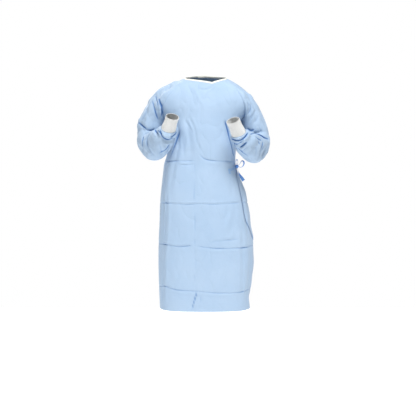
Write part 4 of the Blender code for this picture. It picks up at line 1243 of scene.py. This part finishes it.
def route_from_knot(columns, wanted, returns):
    """Values at even steps along a route that starts, and may end, at the knot."""
    rows = {name: list(values) for name, values in columns.items()}
    first = knot_surface([rows[n][0] for n in "xyz"])
    last = knot_surface([rows[n][-1] for n in "xyz"])
    for name, a, b in zip("xyz", first, last):
        rows[name] = [a] + rows[name] + ([b] if returns else [])
    for name in set(rows) - set("xyz"):
        rows[name] = [rows[name][0]] + rows[name] + ([rows[name][-1]] if returns else [])
    keyed = {name: np.array(values) for name, values in rows.items()}
    keyed["step"] = np.arange(len(rows["x"]), dtype=float)
    steps = np.linspace(0, len(rows["x"]) - 1, RIBBON_STEPS)
    return np.stack([smooth(keyed, "step", name, steps) for name in wanted], axis=1)


def ribbon(name, route, widths, twists):
    """A strip of tie that hangs free. Twist 0 has it edge-on to the front, 1 face-on."""
    going = unit(np.gradient(route, axis=0))
    side_on = np.array([0.0, -1.0, 0.0]) - going * -going[:, 1:2]
    side_on = unit(side_on)
    face_on = unit(np.cross(going, side_on))
    angle = (np.asarray(twists) * math.pi / 2)[:, None]
    flat = side_on * np.cos(angle) + face_on * np.sin(angle)
    thin = np.cross(going, flat)
    across = np.linspace(-0.5, 0.5, RIBBON_THREADS)
    cup = RIBBON_CUP * (1 - (2 * across) ** 2)
    wide = flat[None] * (across[:, None] * np.asarray(widths)[None])[..., None]
    return laid_out(name, route[None] + wide + thin[None] * cup[:, None, None], thick=TIE_THICK, offset=0.0)


def tie_knot():
    """The bow's knot: a rounded lump with the turns of the tie pulled tight round it."""
    centre, axes = knot_place()
    rise = np.linspace(0.04, math.pi - 0.04, 40)[:, None]
    spin = np.linspace(0, 2 * math.pi, 49)[None, :-1]
    turns = 1 + KNOT_TURNS * np.cos(3 * spin + 4.2 * rise) * np.sin(rise)
    parts = (np.sin(rise) * np.cos(spin), np.sin(rise) * np.sin(spin), np.cos(rise) + 0 * spin)
    points = centre + sum((p * turns * h)[..., None] * a for p, h, a in zip(parts, KNOT["half"], axes))
    return tube_of("tie_knot_pulled", points)


def back_tie_strip():
    """The tie from the wrap-over: along its outer face, then free to the knot."""
    grid = laid_strip("back_wrap", TIE_BACK, RIBBON_THREADS, 40)
    end = knot_surface(grid[RIBBON_THREADS // 2, -1])
    half = np.linspace(LINK_HALF, -LINK_HALF, RIBBON_THREADS)[:, None] * np.array([0, 0, 1.0])
    share = np.linspace(0, 1, 21)[1:, None, None]
    free = grid[:, -1] * (1 - share) + (end + half) * share
    return np.concatenate([grid, free.transpose(1, 0, 2)], axis=1)


def dressed(piece, node, material):
    """Puts a finished piece in its node's place."""
    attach(piece, "root")
    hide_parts(node)
    piece.data.materials.clear()
    piece.data.materials.append(material)


def plain_look(name, colour, roughness):
    """A material with only its shader's own colour and roughness set."""
    look = bpy.data.materials.new(name)
    look.use_nodes = True
    shader = look.node_tree.nodes["Principled BSDF"]
    shader.inputs["Base Color"].default_value = (*colour, 1.0)
    shader.inputs["Roughness"].default_value = roughness
    return look, look.node_tree, shader


def noise(tree, source, scale, detail, stretch=(1, 1, 1)):
    """Cloudy variation, read from a coordinate and stretched."""
    place = tree.nodes.new("ShaderNodeMapping")
    place.inputs["Scale"].default_value = stretch
    cloud = tree.nodes.new("ShaderNodeTexNoise")
    cloud.inputs["Scale"].default_value = scale
    cloud.inputs["Detail"].default_value = detail
    tree.links.new(source, place.inputs["Vector"])
    tree.links.new(place.outputs["Vector"], cloud.inputs["Vector"])
    return cloud.outputs["Fac"]


def ramp(tree, source, *stops):
    """Colours along a value, each stop a place and a colour."""
    band = tree.nodes.new("ShaderNodeValToRGB")
    for i, (place, colour) in enumerate(stops):
        stop = band.color_ramp.elements[i] if i < 2 else band.color_ramp.elements.new(place)
        stop.position = place
        stop.color = (*colour, 1.0)
    tree.links.new(source, band.inputs["Fac"])
    return band.outputs["Color"]


def reckoned(tree, kind, first, second):
    """One sum on two values, either of them a number or a socket."""
    node = tree.nodes.new("ShaderNodeMath")
    node.operation = kind
    for socket, value in zip(node.inputs, (first, second)):
        if isinstance(value, (int, float)):
            socket.default_value = value
        else:
            tree.links.new(value, socket)
    return node.outputs[0]


def bumped(tree, shader, *layers):
    """Stacks bumps on a shader, each a height, how far it stands and how strong it is."""
    below = None
    for height, distance, strength in layers:
        bump = tree.nodes.new("ShaderNodeBump")
        bump.inputs["Distance"].default_value = distance
        bump.inputs["Strength"].default_value = strength
        tree.links.new(height, bump.inputs["Height"])
        if below is not None:
            tree.links.new(below, bump.inputs["Normal"])
        below = bump.outputs["Normal"]
    tree.links.new(below, shader.inputs["Normal"])


def waves(tree, flat, across, down):
    """A sine across times a sine down the cloth, from its UV map in metres."""
    parts = tree.nodes.new("ShaderNodeSeparateXYZ")
    tree.links.new(flat, parts.inputs[0])
    sides = []
    for axis, pitch in ((0, across), (1, down)):
        turned = reckoned(tree, "MULTIPLY", parts.outputs[axis], 2 * math.pi / pitch)
        sides.append(reckoned(tree, "SINE", turned, 0.0))
    return reckoned(tree, "MULTIPLY", *sides)


def nonwoven_look(name, light, dark, deep, point_pitch, sheen, crinkle):
    """Spun-bonded cloth: cloudy fibres pressed with a fine grid of points, with shade painted in deeper blue along
    its creases.
    """
    look, tree, shader = plain_look(name, light, 0.72)
    shader.inputs["Sheen Weight"].default_value = sheen
    shader.inputs["Sheen Roughness"].default_value = 0.5
    shader.inputs["Specular IOR Level"].default_value = 0.32
    spot = tree.nodes.new("ShaderNodeTexCoord")
    flat, solid = spot.outputs["UV"], spot.outputs["Object"]
    clouds = noise(tree, solid, 9.0, 3.0)
    fibres = noise(tree, flat, 420.0, 4.0, (1.0, 0.35, 1.0))
    both = reckoned(tree, "ADD", reckoned(tree, "MULTIPLY", clouds, 0.6), reckoned(tree, "MULTIPLY", fibres, 0.4))
    # Painted shade: the mesh's per-point crease value mixes the cloth's colour towards the deep blue.
    shade_mask = tree.nodes.new("ShaderNodeAttribute")
    shade_mask.attribute_name = "crease_shade"
    painted_shade_mix = tree.nodes.new("ShaderNodeMixRGB")
    painted_shade_mix.inputs["Color2"].default_value = (*deep, 1.0)
    tree.links.new(shade_mask.outputs["Fac"], painted_shade_mix.inputs["Fac"])
    tree.links.new(ramp(tree, both, (0.32, dark), (0.66, light)), painted_shade_mix.inputs["Color1"])
    tree.links.new(painted_shade_mix.outputs["Color"], shader.inputs["Base Color"])
    points = waves(tree, flat, point_pitch, point_pitch)
    crumple = noise(tree, solid, 24.0, 3.0)
    hang = noise(tree, solid, 30.0, 2.0, (1.0, 1.0, 0.2))
    lines = reckoned(tree, "ABSOLUTE", reckoned(tree, "SUBTRACT", noise(tree, solid, 17.0, 1.0, (1.0, 1.0, 0.55)), 0.5), 0.0)
    lines = reckoned(tree, "POWER", lines, 0.6)
    bumped(tree, shader, (crumple, 0.004, 0.42), (hang, 0.005, 0.36), (lines, 0.024, crinkle), (fibres, 0.0004, 0.35), (points, 0.0002, 0.3))
    return look


def knit_look(name, light, dark):
    """Rib knit: small slanting stitches down each rib."""
    look, tree, shader = plain_look(name, light, 0.85)
    shader.inputs["Sheen Weight"].default_value = 0.3
    shader.inputs["Specular IOR Level"].default_value = 0.25
    spot = tree.nodes.new("ShaderNodeTexCoord")
    flat = spot.outputs["UV"]
    stitches = waves(tree, flat, 0.0024, 0.0017)
    fuzz = noise(tree, flat, 900.0, 3.0)
    both = reckoned(tree, "ADD", reckoned(tree, "MULTIPLY", stitches, 0.25), fuzz)
    tree.links.new(ramp(tree, both, (0.3, dark), (0.62, light)), shader.inputs["Base Color"])
    bumped(tree, shader, (stitches, 0.0005, 0.6), (fuzz, 0.0003, 0.4))
    return look


def tape_look(name, light, dark):
    """Bias tape: a fine plain weave."""
    look, tree, shader = plain_look(name, light, 0.8)
    shader.inputs["Sheen Weight"].default_value = 0.2
    shader.inputs["Specular IOR Level"].default_value = 0.3
    spot = tree.nodes.new("ShaderNodeTexCoord")
    flat = spot.outputs["UV"]
    threads = waves(tree, flat, 0.0009, 0.0009)
    fuzz = noise(tree, flat, 700.0, 3.0)
    tree.links.new(ramp(tree, fuzz, (0.3, dark), (0.7, light)), shader.inputs["Base Color"])
    bumped(tree, shader, (threads, 0.0003, 0.45), (fuzz, 0.0003, 0.3))
    return look


# The third colour of each nonwoven look is the shade painted into its creases, used where a mesh carries the crease
# value.
GOWN_LOOK = nonwoven_look("gown_nonwoven", (0.382, 0.503, 0.655), (0.340, 0.468, 0.632), (0.060, 0.170, 0.420), 0.0016, 0.1, 0.22)
SLEEVE_LOOK = nonwoven_look("sleeve_nonwoven", (0.382, 0.503, 0.655), (0.340, 0.468, 0.632), (0.060, 0.170, 0.420), 0.0016, 0.1, 0.45)
TIE_LOOK = nonwoven_look("tie_nonwoven", (0.185, 0.400, 0.840), (0.135, 0.330, 0.770), (0.06, 0.16, 0.50), 0.0012, 0.15, 0.1)
PALE_TIE_LOOK = nonwoven_look("tie_nonwoven_pale", (0.290, 0.450, 0.680), (0.250, 0.410, 0.650), (0.08, 0.22, 0.55), 0.0012, 0.15, 0.1)
KNIT_LOOK = knit_look("cuff_rib_knit", (0.820, 0.825, 0.810), (0.690, 0.700, 0.695))
TAPE_LOOK = tape_look("neck_bias_tape", (0.82, 0.83, 0.77), (0.72, 0.73, 0.66))

# The cloth pieces
for NAME, PIECE in CLOTHS.items():
    PANEL = laid_out(NAME + "_cloth", PIECE["shaped"], PIECE["closed"], PIECE["flip"], crease_shade=PIECE["crease_shade"])
    dressed(PANEL, NAME, SLEEVE_LOOK if PIECE["closed"] else GOWN_LOOK)

for SIDE in SIDES:
    CUFF_PIECE = laid_out("cuff_" + SIDE + "_knit", cuff_grid(SIDE), True, SIDE == "right", CUFF_THICK)
    dressed(CUFF_PIECE, "cuff_" + SIDE, KNIT_LOOK)

BINDING = neck_binding()
dressed(BINDING, "neck_binding", TAPE_LOOK)

# The waist tie
TIE_PIECES = {
    "tie_patch": (laid_out("tie_patch_strip", laid_strip("front", PATCH, 9, 9), flip=True, thick=TIE_THICK), (0.0115, 0.025)),
    "tie_front": (laid_out("tie_front_strip", laid_strip("front", TIE_FRONT, RIBBON_THREADS, 60), flip=True, thick=TIE_THICK), (0.011, 0.085)),
    "tie_back": (laid_out("tie_back_strip", back_tie_strip(), thick=TIE_THICK), (0.011, 0.11)),
}
for NAME, (STRIP, FLAT) in TIE_PIECES.items():
    dressed(STRIP, NAME, PALE_TIE_LOOK)
KNOT_PIECE = tie_knot()
dressed(KNOT_PIECE, "tie_knot", TIE_LOOK)
for NAME, ROUTE, FLAT in (("tie_loop", LOOP, (0.011, 0.075)), ("tie_loop_upper", UPPER_LOOP, (0.011, 0.05))):
    TWIST = route_from_knot(ROUTE, ("twist",), True)[:, 0]
    BOW = ribbon(NAME + "_ribbon", route_from_knot(ROUTE, "xyz", True), [TIE_WIDTH] * RIBBON_STEPS, TWIST)
    dressed(BOW, NAME, TIE_LOOK)
TAIL_ROUTE = route_from_knot(TAIL, "xyz", False)
TAIL_SHAPE = route_from_knot(TAIL, ("width", "twist"), False)
TAIL_PIECE = ribbon("tie_tail_ribbon", TAIL_ROUTE, TAIL_SHAPE[:, 0], TAIL_SHAPE[:, 1])
dressed(TAIL_PIECE, "tie_tail", TIE_LOOK)


def studio_floor():
    """A plain pale floor."""
    bpy.ops.mesh.primitive_plane_add(size=5, location=(0, 0, FLOOR_LEVEL))
    floor = bpy.context.object
    floor.name = "studio_floor"
    look, _, shader = plain_look("studio_paper", (0.96, 0.96, 0.96), 0.9)
    shader.inputs["Specular IOR Level"].default_value = 0.1
    shader.inputs["Emission Color"].default_value = (1.0, 1.0, 1.0, 1.0)
    shader.inputs["Emission Strength"].default_value = 0.5
    floor.data.materials.append(look)


def soft_light(name, place, aim, size, power, colour=(1, 1, 1)):
    data = bpy.data.lights.new(name, "AREA")
    data.shape = "DISK"
    data.size = size
    data.energy = power
    data.color = colour
    light = bpy.data.objects.new(name, data)
    light.location = place
    light.rotation_euler = (Vector(aim) - Vector(place)).to_track_quat("-Z", "Y").to_euler()
    bpy.context.collection.objects.link(light)


studio_floor()
soft_light("key", (0.6, -2.4, 3.0), (0, 0, -0.5), 1.7, 196)
soft_light("fill", (-2.8, -1.9, 0.6), (0, 0, -0.6), 1.6, 10)
soft_light("back", (-1.7, 3.0, 1.6), (0, 0, -0.5), 1.4, 75)
WORLD = bpy.data.worlds.new("studio_air")
WORLD.use_nodes = True
AIR = WORLD.node_tree.nodes["Background"]
AIR.inputs["Color"].default_value = (1.0, 1.0, 1.0, 1.0)
SEEN = WORLD.node_tree.nodes.new("ShaderNodeLightPath")
STRENGTH = WORLD.node_tree.nodes.new("ShaderNodeMapRange")
STRENGTH.inputs["To Min"].default_value = 0.42
STRENGTH.inputs["To Max"].default_value = 1.0
WORLD.node_tree.links.new(SEEN.outputs["Is Camera Ray"], STRENGTH.inputs["Value"])
WORLD.node_tree.links.new(STRENGTH.outputs["Result"], AIR.inputs["Strength"])
bpy.context.scene.world = WORLD
bpy.context.scene.view_settings.view_transform = "Standard"
